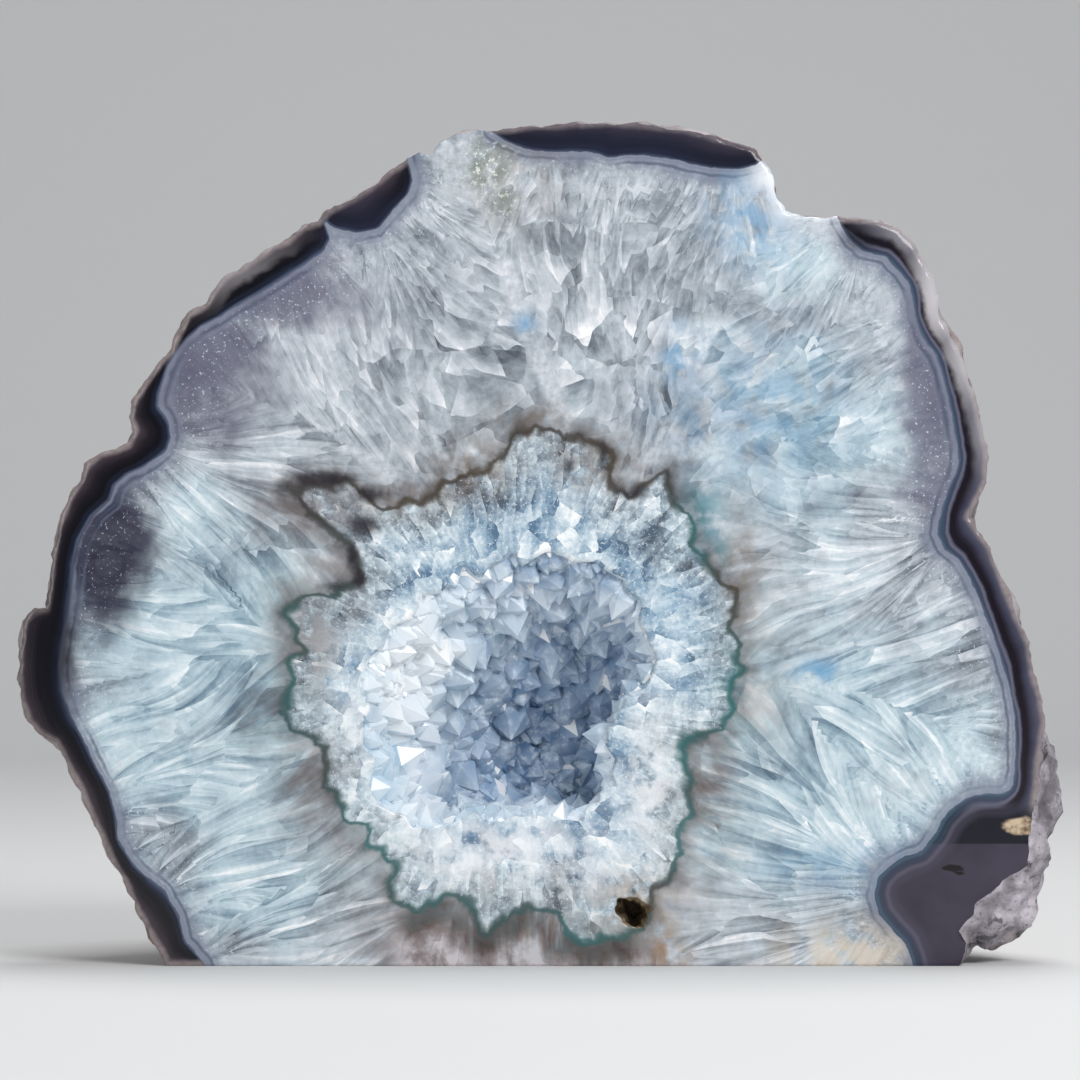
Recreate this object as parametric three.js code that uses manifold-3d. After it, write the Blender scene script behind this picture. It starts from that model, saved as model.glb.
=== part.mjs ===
// A standing agate geode: half a nodule, sawn and polished across its front and sawn flat under its foot.
// Millimetres, +Z up. X runs along the polished face and Y into the stone, away from whoever looks at it.
// Two pieces: the nodule with its hollow, and the crust of quartz points that grew on the hollow's wall.

import * as THREE from "three";
import { ImprovedNoise } from "three/addons/math/ImprovedNoise.js";
import { mergeVertices } from "three/addons/utils/BufferGeometryUtils.js";
import Module from "manifold-3d";

const wasm = await Module();
wasm.setup();

// Driving sizes
const STONE_DEPTH = 80;
const HOLLOW_DEPTH = 36;
const FIT_GAP = 0.3;
const CRUST_WALL = 2.2;
const CRUST_LIP = 0.6;
const LIP_SHARE = 0.35;

// Middle of the polished face, which the nodule's rings close in on
const FACE_MIDDLE = new THREE.Vector2(0, 62);

// The nodule's outline seen from the front, [x, z], clockwise from the left end of the foot.
// Where a broken corner stands outside the polished face, two more numbers give the face's own edge.
const OUTLINE = [
  [-75.2, 0.0], [-77.6, 4.4], [-80.9, 10.3], [-83.4, 15.6], [-86.2, 20.5], [-89.0, 26.6],
  [-92.0, 33.2], [-95.2, 40.2], [-97.6, 44.4], [-100.4, 46.2], [-103.0, 48.8], [-104.6, 53.0],
  [-105.2, 58.5], [-104.8, 64.0], [-103.9, 69.0], [-102.2, 71.2], [-99.6, 71.6], [-98.9, 76.5],
  [-98.4, 82.5], [-97.2, 88.0], [-95.2, 93.3], [-92.8, 97.4], [-91.6, 100.6], [-89.0, 102.8],
  [-85.6, 103.6], [-83.2, 104.6], [-81.8, 107.2], [-82.7, 110.0], [-82.2, 113.0], [-79.6, 117.2],
  [-76.8, 121.0], [-74.4, 123.4], [-73.2, 127.0], [-71.0, 130.9], [-67.4, 132.8], [-65.4, 136.2],
  [-63.3, 138.6], [-59.8, 140.4], [-56.0, 142.8], [-53.4, 144.7], [-50.8, 145.6], [-47.8, 148.4],
  [-44.6, 149.3], [-42.9, 151.7], [-39.0, 153.4], [-34.6, 156.0], [-30.0, 160.0], [-26.6, 161.8],
  [-24.6, 163.1], [-22.0, 162.8], [-19.8, 165.6], [-14.0, 167.5], [-8.6, 167.8], [-3.0, 168.6],
  [5.0, 169.1], [13.0, 169.3], [21.0, 169.0], [29.0, 167.9], [36.0, 166.4], [40.6, 164.9],
  [43.0, 164.0], [45.4, 161.0], [46.9, 157.6], [47.7, 154.6], [49.4, 151.8], [52.4, 150.7],
  [57.6, 150.1], [63.0, 150.1], [68.6, 149.4], [72.6, 147.6], [75.2, 144.9], [77.0, 141.4],
  [79.0, 138.2], [80.0, 133.6], [80.8, 129.8], [83.4, 125.6], [85.4, 120.8], [87.2, 115.6],
  [88.8, 109.0], [90.1, 103.0], [89.8, 96.8], [88.0, 93.2], [86.4, 90.0], [88.2, 87.4],
  [90.2, 84.6], [91.8, 80.4], [94.2, 74.6], [96.6, 68.6], [98.4, 64.6], [99.3, 58.6],
  [100.9, 53.8], [101.6, 49.0],
  [102.9, 44.2, 100.6, 44.6], [104.4, 39.4, 99.8, 40.6], [105.0, 33.0, 99.6, 35.2],
  [105.0, 26.0, 98.6, 30.4], [104.4, 20.4, 98.0, 24.6], [102.2, 16.4, 97.6, 20.2],
  [101.0, 11.4, 93.6, 17.6], [99.8, 6.8, 89.0, 14.2], [96.4, 4.2, 86.6, 10.4],
  [92.4, 2.2, 83.6, 7.0], [88.0, 2.9, 85.4, 4.4], [85.0, 0.4, 84.2, 0.6],
  [81.0, -4.0], [76.0, -9.0], [68.0, -15.0], [57.0, -20.0], [44.0, -24.0], [29.0, -27.0],
  [13.0, -29.0], [-4.0, -30.0], [-20.0, -29.0], [-35.0, -26.0], [-49.0, -21.0], [-60.0, -14.0],
  [-68.0, -8.0], [-72.5, -3.6],
];

// The hollow's jagged edge in the polished face, [x, z], clockwise from its right side
const HOLLOW_EDGE = [
  [24.0, 62.0], [23.4, 58.2], [22.0, 55.4], [18.8, 54.6], [18.4, 51.4], [17.2, 48.6], [14.8, 46.6],
  [14.2, 43.8], [16.8, 40.2], [15.2, 38.0], [15.8, 35.4], [13.2, 33.6], [12.8, 31.2], [10.0, 30.2],
  [9.4, 28.2], [6.2, 28.8], [3.0, 27.6], [0.4, 28.4], [-2.0, 29.8], [-5.0, 28.6], [-8.0, 26.8],
  [-11.0, 28.0], [-13.0, 29.6], [-16.0, 27.6], [-19.0, 26.4], [-23.0, 25.4], [-27.0, 26.4],
  [-31.0, 28.4], [-33.6, 32.0], [-36.0, 36.2], [-37.6, 41.0], [-38.4, 46.0], [-38.0, 52.0],
  [-37.0, 57.0], [-35.4, 62.0], [-33.0, 66.6], [-29.6, 71.0], [-26.0, 74.4], [-21.0, 77.6],
  [-16.0, 80.4], [-10.0, 82.4], [-4.0, 83.6], [2.0, 84.0], [8.0, 83.0], [13.2, 80.6], [18.0, 77.0],
  [21.4, 72.6], [23.4, 67.4],
];
const HOLLOW_MIDDLE = new THREE.Vector2(-6, 55);
const HOLLOW_BOTTOM = new THREE.Vector2(3, 46);
const HOLLOW_RINGS = 7;
const FRONT_REACH = 6;
// Way in which the hollow's wall falls steeply, down and to the right. Its other side is a slope.
const STEEP_WAY = new THREE.Vector2(1, -1).normalize();
const SLOPE_POWER = 1.35;
const STEEP_POWER = 3.4;

// The nodule's rings from the face back to its far end. The stone swells to its full outline at OUTLINE_RING,
// and does most of that close behind the face.
const FACE_BEVEL = 0.5;
const BEVEL_RING = 0.045;
const OUTLINE_RING = 0.12;
const DOME_POWER = 2.5;
const DOME_RINGS = 13;
const FACE_RINGS = 1;
const BULGE_POWER = 0.5;

// Clefts of the outline fade towards the back: columns averaged there, and where that starts and ends
const CLEFT_SPAN = 8;
const CLEFT_START = 0.14;
const CLEFT_END = 0.62;

// Lumps and hollows of the weathered outside
const LUMPS = [
  { across: 44, height: 9 },
  { across: 19, height: 4.4 },
];
const LUMP_SINK = 0.45;
const LUMP_START = 0.08;
const LUMP_FULL = 0.5;

// A small open pit below the hollow, and its slant
const PIT = { x: 18.8, z: 10.6, halfWidth: 3.6, halfHeight: 2.7, depth: 9, turn: -0.55 };

// Quartz points on the hollow's wall, ring by ring from the edge to the bottom
const POINT_RINGS = [
  { at: 0.11, count: 22, radius: 3.2, length: 2.2 },
  { at: 0.3, count: 19, radius: 4.0, length: 2.6 },
  { at: 0.5, count: 15, radius: 4.5, length: 3.2 },
  { at: 0.69, count: 11, radius: 4.9, length: 3.6 },
  { at: 0.86, count: 7, radius: 5.1, length: 3.6 },
  { at: 0.97, count: 3, radius: 5.1, length: 3.4 },
];
const POINT_SIDES = 6;
const POINT_TIP = 1.1;
const POINT_ROOT = 2.6;
const POINT_SPREAD = 0.28;
const POINT_LEAN = 0.3;
const POINT_SHIFT = 0.6;
const RING_SHIFT = 0.07;
const DEEPEST_POINT = 0.995;
const POINT_SEED = 7;

// Step along the hollow's wall over which its slope is taken
const SLOPE_STEP = 0.02;

// Corners nearer than this are one corner
const SAME_CORNER = 1e-4;

// Wider than the whole stone
const SAW_BLOCK = 400;

const AGATE_COLOR = 0x9aa6b4;
const AGATE_ROUGHNESS = 0.25;
const QUARTZ_COLOR = 0xa9bccd;
const QUARTZ_ROUGHNESS = 0.12;

const noise = new ImprovedNoise();

// Repeatable numbers from 0 to 1
function makeDice(seed) {
  let state = seed;
  return () => {
    state = (state * 1664525 + 1013904223) % 4294967296;
    return state / 4294967296;
  };
}

// A closed surface of rings: a sphere whose every point is moved to place(column, ring).
function ringed(columns, rings, place) {
  const geometry = new THREE.SphereGeometry(1, columns, rings);
  geometry.deleteAttribute("normal");
  geometry.deleteAttribute("uv");
  const position = geometry.getAttribute("position");
  for (let ring = 0; ring <= rings; ring += 1) {
    for (let column = 0; column <= columns; column += 1) {
      const point = place(column % columns, ring);
      position.setXYZ(ring * (columns + 1) + column, point.x, point.y, point.z);
    }
  }
  return geometry;
}

// A manifold-3d solid from a closed three.js geometry, whichever way round its faces are
function solidOf(geometry) {
  const bare = geometry.clone();
  for (const name of Object.keys(bare.attributes)) {
    if (name !== "position") bare.deleteAttribute(name);
  }
  const merged = mergeVertices(bare, SAME_CORNER);
  const vertProperties = new Float32Array(merged.getAttribute("position").array);
  const triVerts = new Uint32Array(merged.index.array);
  const solid = new wasm.Manifold(new wasm.Mesh({ numProp: 3, vertProperties, triVerts }));
  if (solid.volume() > 0) return solid;
  for (let i = 0; i < triVerts.length; i += 3) {
    [triVerts[i + 1], triVerts[i + 2]] = [triVerts[i + 2], triVerts[i + 1]];
  }
  return new wasm.Manifold(new wasm.Mesh({ numProp: 3, vertProperties, triVerts }));
}

function geometryOf(solid) {
  const mesh = solid.getMesh();
  const geometry = new THREE.BufferGeometry();
  geometry.setAttribute("position", new THREE.BufferAttribute(mesh.vertProperties, mesh.numProp));
  geometry.setIndex(new THREE.BufferAttribute(mesh.triVerts, 1));
  geometry.computeVertexNormals();
  return geometry;
}

// How far out a rounded section still reaches, from 1 at its mouth to 0 at its far end
function reach(depthShare, power) {
  return Math.max(0, 1 - depthShare ** power) ** (1 / power);
}

// The nodule
function faceEdge(column) {
  const [x, z, edgeX, edgeZ] = OUTLINE[column];
  if (edgeX !== undefined) return new THREE.Vector2(edgeX, edgeZ);
  const outer = new THREE.Vector2(x, z);
  const inward = FACE_MIDDLE.clone().sub(outer).setLength(FACE_BEVEL);
  return outer.add(inward);
}

function domeRingDepth(ring) {
  if (ring === 0) return 0;
  if (ring === 1) return BEVEL_RING;
  const angle = ((ring - 2) / (DOME_RINGS - 2)) * (Math.PI / 2);
  return Math.max(OUTLINE_RING, Math.sin(angle) ** (2 / DOME_POWER));
}

function lumpAt(point) {
  let height = 0;
  for (const lump of LUMPS) {
    const wave = noise.noise(point.x / lump.across, point.y / lump.across, point.z / lump.across);
    height += lump.height * (wave - LUMP_SINK);
  }
  return height;
}

// The outline with its clefts averaged out
function softEdge(column) {
  const count = OUTLINE.length;
  const sum = new THREE.Vector2();
  let total = 0;
  for (let step = -CLEFT_SPAN; step <= CLEFT_SPAN; step += 1) {
    const [x, z] = OUTLINE[(column + step + count) % count];
    const weight = CLEFT_SPAN + 1 - Math.abs(step);
    sum.add(new THREE.Vector2(x, z).multiplyScalar(weight));
    total += weight;
  }
  return sum.divideScalar(total);
}

function domePoint(column, depthShare) {
  const outer = new THREE.Vector2(OUTLINE[column][0], OUTLINE[column][1]);
  outer.lerp(softEdge(column), THREE.MathUtils.smoothstep(depthShare, CLEFT_START, CLEFT_END));
  const bulge = Math.min(1, depthShare / OUTLINE_RING) ** BULGE_POWER;
  const ringPoint = faceEdge(column).lerp(outer, bulge).sub(FACE_MIDDLE);
  ringPoint.multiplyScalar(reach(depthShare, DOME_POWER));
  const point = new THREE.Vector3(
    FACE_MIDDLE.x + ringPoint.x,
    depthShare * STONE_DEPTH,
    FACE_MIDDLE.y + ringPoint.y,
  );
  const outward = new THREE.Vector3(
    ringPoint.x,
    depthShare * STONE_DEPTH,
    ringPoint.y,
  ).normalize();
  const worn = THREE.MathUtils.smoothstep(depthShare, LUMP_START, LUMP_FULL);
  return point.addScaledVector(outward, lumpAt(point) * worn);
}

function makeNodule() {
  const rings = DOME_RINGS + FACE_RINGS;
  const farEnd = domePoint(0, 1);
  farEnd.x = FACE_MIDDLE.x;
  farEnd.z = FACE_MIDDLE.y;
  const place = (column, ring) => {
    if (ring === 0) return farEnd;
    if (ring < DOME_RINGS) return domePoint(column, domeRingDepth(DOME_RINGS - ring));
    const inner = 1 - (ring - DOME_RINGS) / FACE_RINGS;
    const edge = faceEdge(column).sub(FACE_MIDDLE).multiplyScalar(inner).add(FACE_MIDDLE);
    return new THREE.Vector3(edge.x, 0, edge.y);
  };
  return solidOf(ringed(OUTLINE.length, rings, place));
}

// The hollow. A point on its wall, column counted along its edge and taken in between as well
function hollowPoint(column, depthShare, inset) {
  const count = HOLLOW_EDGE.length;
  const first = ((Math.floor(column) % count) + count) % count;
  const part = column - Math.floor(column);
  const edge = new THREE.Vector2(...HOLLOW_EDGE[first]);
  edge.lerp(new THREE.Vector2(...HOLLOW_EDGE[(first + 1) % count]), part);
  const arm = edge.sub(HOLLOW_MIDDLE);
  const steep = 0.5 + 0.5 * arm.clone().normalize().dot(STEEP_WAY);
  const power = THREE.MathUtils.lerp(SLOPE_POWER, STEEP_POWER, steep);
  const share = Math.min(depthShare, 1);
  arm.setLength(Math.max(0, arm.length() - inset));
  arm.multiplyScalar(reach(share, power));
  const middle = HOLLOW_MIDDLE.clone().lerp(HOLLOW_BOTTOM, share);
  return new THREE.Vector3(middle.x + arm.x, share * (HOLLOW_DEPTH - inset), middle.y + arm.y);
}

// The room inside the hollow's wall, inset from it, and running forward past the face
function makeRoom(insetAt, forward) {
  const rings = HOLLOW_RINGS + 2;
  const place = (column, ring) => {
    if (ring <= HOLLOW_RINGS) {
      const depthShare = Math.sin((1 - ring / HOLLOW_RINGS) * (Math.PI / 2));
      return hollowPoint(column, depthShare, insetAt(depthShare));
    }
    const point = hollowPoint(column, 0, insetAt(0));
    if (ring === rings) point.set(HOLLOW_MIDDLE.x, 0, HOLLOW_MIDDLE.y);
    point.y = -forward;
    return point;
  };
  return solidOf(ringed(HOLLOW_EDGE.length, rings, place));
}

function makePit() {
  const geometry = new THREE.IcosahedronGeometry(1, 1);
  geometry.scale(PIT.halfWidth, PIT.depth, PIT.halfHeight);
  geometry.rotateY(-PIT.turn);
  geometry.translate(PIT.x, 0, PIT.z);
  return solidOf(geometry);
}

// The saw's cut under the foot: what is kept lies above it
function makeFootCut() {
  const geometry = new THREE.BoxGeometry(SAW_BLOCK, SAW_BLOCK, SAW_BLOCK);
  geometry.translate(0, 0, SAW_BLOCK / 2);
  return solidOf(geometry);
}

// The crust. One six-sided quartz point, standing on the origin along +Y
function quartzPoint(radius, length) {
  const profile = [
    new THREE.Vector2(0, -POINT_ROOT),
    new THREE.Vector2(radius, -POINT_ROOT),
    new THREE.Vector2(radius, length),
    new THREE.Vector2(0, length + radius * POINT_TIP),
  ];
  return new THREE.LatheGeometry(profile, POINT_SIDES);
}

function wallNormal(column, depthShare) {
  const here = hollowPoint(column, depthShare, FIT_GAP);
  const along = hollowPoint(column + 1, depthShare, FIT_GAP).sub(here);
  const deeper = hollowPoint(column, Math.min(1, depthShare + SLOPE_STEP), FIT_GAP).sub(here);
  const normal = along.cross(deeper).normalize();
  const middle = new THREE.Vector3(HOLLOW_MIDDLE.x, 0, HOLLOW_MIDDLE.y);
  if (normal.dot(middle.sub(here)) < 0) normal.negate();
  return normal;
}

function makePoints() {
  const dice = makeDice(POINT_SEED);
  const upright = new THREE.Vector3(0, 1, 0);
  const points = [];
  for (const ring of POINT_RINGS) {
    for (let i = 0; i < ring.count; i += 1) {
      const jitter = (dice() - 0.5) * POINT_SHIFT;
      const column = ((i + jitter) / ring.count) * HOLLOW_EDGE.length;
      const depthShare = Math.min(DEEPEST_POINT, ring.at + (dice() - 0.5) * RING_SHIFT);
      const radius = ring.radius * (1 + (dice() - 0.5) * 2 * POINT_SPREAD);
      const length = ring.length * (1 + (dice() - 0.5) * 2 * POINT_SPREAD);
      const geometry = quartzPoint(radius, length);
      geometry.rotateY(dice() * Math.PI);
      const lean = new THREE.Vector3(dice() - 0.5, dice() - 0.5, dice() - 0.5);
      const way = wallNormal(column, depthShare).addScaledVector(lean, 2 * POINT_LEAN).normalize();
      geometry.applyQuaternion(new THREE.Quaternion().setFromUnitVectors(upright, way));
      const foot = hollowPoint(column, depthShare, crustInset(depthShare));
      geometry.translate(foot.x, foot.y, foot.z);
      points.push(solidOf(geometry));
    }
  }
  return wasm.Manifold.union(points);
}

// The crust is thin at the hollow's mouth and thicker further in
function crustInset(depthShare) {
  const grown = THREE.MathUtils.smoothstep(depthShare, 0, LIP_SHARE);
  return FIT_GAP + THREE.MathUtils.lerp(CRUST_LIP, CRUST_WALL, grown);
}

// What the points leave free. Small pockets that they close between them count as grown over.
function makeFreeRoom() {
  const rooms = makeRoom(crustInset, FRONT_REACH).subtract(makePoints()).decompose();
  rooms.sort((a, b) => b.volume() - a.volume());
  return rooms[0];
}

function makeCrust() {
  return makeRoom(() => FIT_GAP, 0).subtract(makeFreeRoom());
}

const agate = new THREE.MeshStandardMaterial({ color: AGATE_COLOR, roughness: AGATE_ROUGHNESS });
const quartz = new THREE.MeshStandardMaterial({ color: QUARTZ_COLOR, roughness: QUARTZ_ROUGHNESS });

function named(name, solid, material) {
  const mesh = new THREE.Mesh(geometryOf(solid), material);
  mesh.name = name;
  return mesh;
}

const nodule = makeNodule()
  .intersect(makeFootCut())
  .subtract(makeRoom(() => 0, FRONT_REACH))
  .subtract(makePit());

const geode = new THREE.Group();
geode.add(named("agate_nodule", nodule, agate));
geode.add(named("quartz_crust", makeCrust(), quartz));

// The origin is the middle of the foot: the face is at -Y, the rounded back at +Y
const bounds = new THREE.Box3().setFromObject(geode);
const middle = bounds.getCenter(new THREE.Vector3());
geode.position.set(-middle.x, -middle.y, 0);

export default geode;
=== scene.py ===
"""Dresses a standing agate geode: polished face, rough rind, sawn foot and the quartz in its hollow."""
import math

import bmesh
import bpy
import numpy as np
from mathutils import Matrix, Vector, noise
from mathutils.bvhtree import BVHTree
from mathutils.kdtree import KDTree


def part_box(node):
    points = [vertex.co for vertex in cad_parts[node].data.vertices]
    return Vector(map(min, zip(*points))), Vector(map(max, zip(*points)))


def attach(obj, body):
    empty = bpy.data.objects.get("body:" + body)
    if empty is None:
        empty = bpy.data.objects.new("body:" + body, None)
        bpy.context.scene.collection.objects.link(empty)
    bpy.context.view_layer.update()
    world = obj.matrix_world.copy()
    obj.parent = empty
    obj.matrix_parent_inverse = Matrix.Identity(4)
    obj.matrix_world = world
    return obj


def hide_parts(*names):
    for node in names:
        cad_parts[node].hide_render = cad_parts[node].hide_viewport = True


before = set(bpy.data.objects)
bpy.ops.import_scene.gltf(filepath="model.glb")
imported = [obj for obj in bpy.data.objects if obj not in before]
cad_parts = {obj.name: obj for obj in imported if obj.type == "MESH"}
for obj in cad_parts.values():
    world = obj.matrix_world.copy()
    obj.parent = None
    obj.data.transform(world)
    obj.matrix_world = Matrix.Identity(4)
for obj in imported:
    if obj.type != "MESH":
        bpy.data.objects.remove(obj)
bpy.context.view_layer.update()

MM = 0.001
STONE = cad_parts["agate_nodule"]
FACE_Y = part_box("agate_nodule")[0].y / MM
# The contours below are in millimetres on the polished face, right and up from the middle of the foot.
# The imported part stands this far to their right.
TO_PART = np.array([0.104, 0.0])

# Inner edge of the dark agate band, clockwise from the foot's left end. It runs out past the stone's edge
# where clear quartz reaches the rind.
AGATE_EDGE = [
    (-67, 0.5), (-70.9, 5), (-72.2, 10), (-74.9, 15), (-80.9, 20), (-84.3, 25), (-84.8, 30), (-86.1, 35),
    (-88.8, 40), (-91.1, 45), (-93.7, 50), (-95.6, 55), (-96, 60), (-95.4, 65), (-94.4, 70), (-93.7, 75),
    (-93.4, 80), (-92.4, 85), (-89.7, 90), (-86.1, 93.2), (-85.2, 96.1), (-82.5, 98.4), (-79.4, 99.7),
    (-76.4, 101.7), (-74.6, 103.3), (-73.8, 105.8), (-74.1, 108.4), (-75.1, 110.2), (-76.4, 111.8),
    (-76.3, 114), (-75.4, 117), (-74.4, 120.1), (-73.3, 122.1), (-70.3, 125.7), (-67.7, 128),
    (-64.1, 129.8), (-60.6, 132.1), (-57, 134.1), (-51.9, 137.2), (-46.8, 140.5), (-43.2, 143.1),
    (-41.9, 145.6), (-43.4, 149.5), (-41.4, 147.6), (-36.5, 146.6), (-32.4, 147.4), (-28.9, 151.7),
    (-26.4, 154.2), (-25.4, 157.3), (-27.5, 165), (-12, 172), (-9.5, 166.7), (-6.5, 164.7), (-2.4, 163.2),
    (2.7, 162.8), (7.8, 162.9), (10.9, 162.7), (13.9, 161.5), (17, 162.1), (21.1, 162.1), (25.2, 161.6),
    (29.2, 160.6), (34.3, 159.6), (39.4, 159.3), (43, 160.1), (44.8, 161.6), (50, 164), (60, 154),
    (59.5, 149.8), (60.4, 147.6), (62.2, 145), (64.5, 143), (67.3, 142.3), (69.1, 141.8), (70.9, 139.8),
    (72.4, 138.2), (73.7, 136.6), (74.6, 133.4), (75.1, 130.1), (75.9, 127.4), (77.3, 124.6), (79.2, 122.3),
    (80.3, 119.1), (81.5, 114.5), (82.4, 109.9), (83.3, 104.9), (83.8, 101.2), (83.3, 98.9), (81.9, 96.1),
    (80.8, 92.9), (79.7, 88.9), (79.5, 86.3), (80.9, 83.4), (83.7, 81.2), (85.7, 78), (87.6, 73.6),
    (89.5, 69.1), (91.4, 64), (93, 58.9), (94, 55.1), (94.9, 50), (95.1, 43.6), (94.9, 38.5), (94.3, 35.6),
    (92.7, 34.4), (89.5, 34.5), (86.3, 34.1), (83.1, 32.2), (80.6, 29.6), (79, 26.4), (76.1, 22.9),
    (72.9, 21.9), (69.7, 20), (67.5, 17.5), (66.8, 14.3), (67.8, 10.5), (70.4, 7.3), (72.9, 4.7),
    (74.2, 1.5), (76, -6), (70, -40), (-62, -40), (-65, -6),
]

# The toothed growth line between the two quartz fills, clockwise from the top
GROWTH_LINE = [
    (-1, 108.1), (1.9, 107.1), (4.7, 105.4), (7.6, 106), (9.4, 103.9), (12.6, 103.9), (14.4, 102.1),
    (13.6, 98.1), (15.4, 94.9), (18.3, 93.9), (20.8, 96.4), (24.7, 97.8), (26.1, 94.6), (27.9, 90.3),
    (30.4, 87.8), (30.8, 84.6), (31.1, 81.7), (34.7, 78.9), (36.9, 76), (39.4, 73.1), (38.3, 68.9),
    (38.6, 63.1), (40.4, 59.9), (38.3, 56.7), (38.3, 51.7), (36.5, 47.4), (32.6, 46.4), (28.3, 45.6),
    (29, 41), (29.7, 35.3), (29.4, 30.3), (27.2, 26), (28.3, 22.8), (25.4, 18.9), (22.6, 15.3), (21.4, 9.6),
    (19.7, 6.7), (15.4, 5.6), (10.4, 5.3), (5.4, 6.7), (3.6, 10.3), (0.4, 11.7), (-3.1, 11.7), (-6.7, 9.6),
    (-11.7, 7.1), (-13.1, 10.3), (-14.6, 14.6), (-17.4, 14.6), (-21, 12.8), (-25.3, 11), (-28.9, 13.1),
    (-29.9, 16.7), (-28.5, 21), (-31.7, 22.8), (-34.6, 24.6), (-34.6, 28.1), (-38.9, 29.6), (-41, 34.6),
    (-43.1, 38.1), (-42.1, 41.7), (-45.3, 45.3), (-49.6, 47.8), (-51.7, 51), (-49.6, 53.9), (-49.9, 58.1),
    (-49.6, 61.7), (-47.1, 63.1), (-49.2, 67.4), (-51, 70.3), (-49.2, 72.4), (-45.3, 73.9), (-38.1, 75.3),
    (-35.6, 77.4), (-36.4, 81.7), (-38.9, 84.9), (-43.1, 88.1), (-47.4, 92.1), (-49.2, 94.2), (-43.1, 96.4),
    (-37.4, 96), (-33.9, 92.4), (-31.4, 91.4), (-27.4, 92.4), (-21.7, 93.1), (-20.3, 96), (-10.3, 99.6),
    (-8.1, 101.7), (-5.3, 105.6),
]

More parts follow.
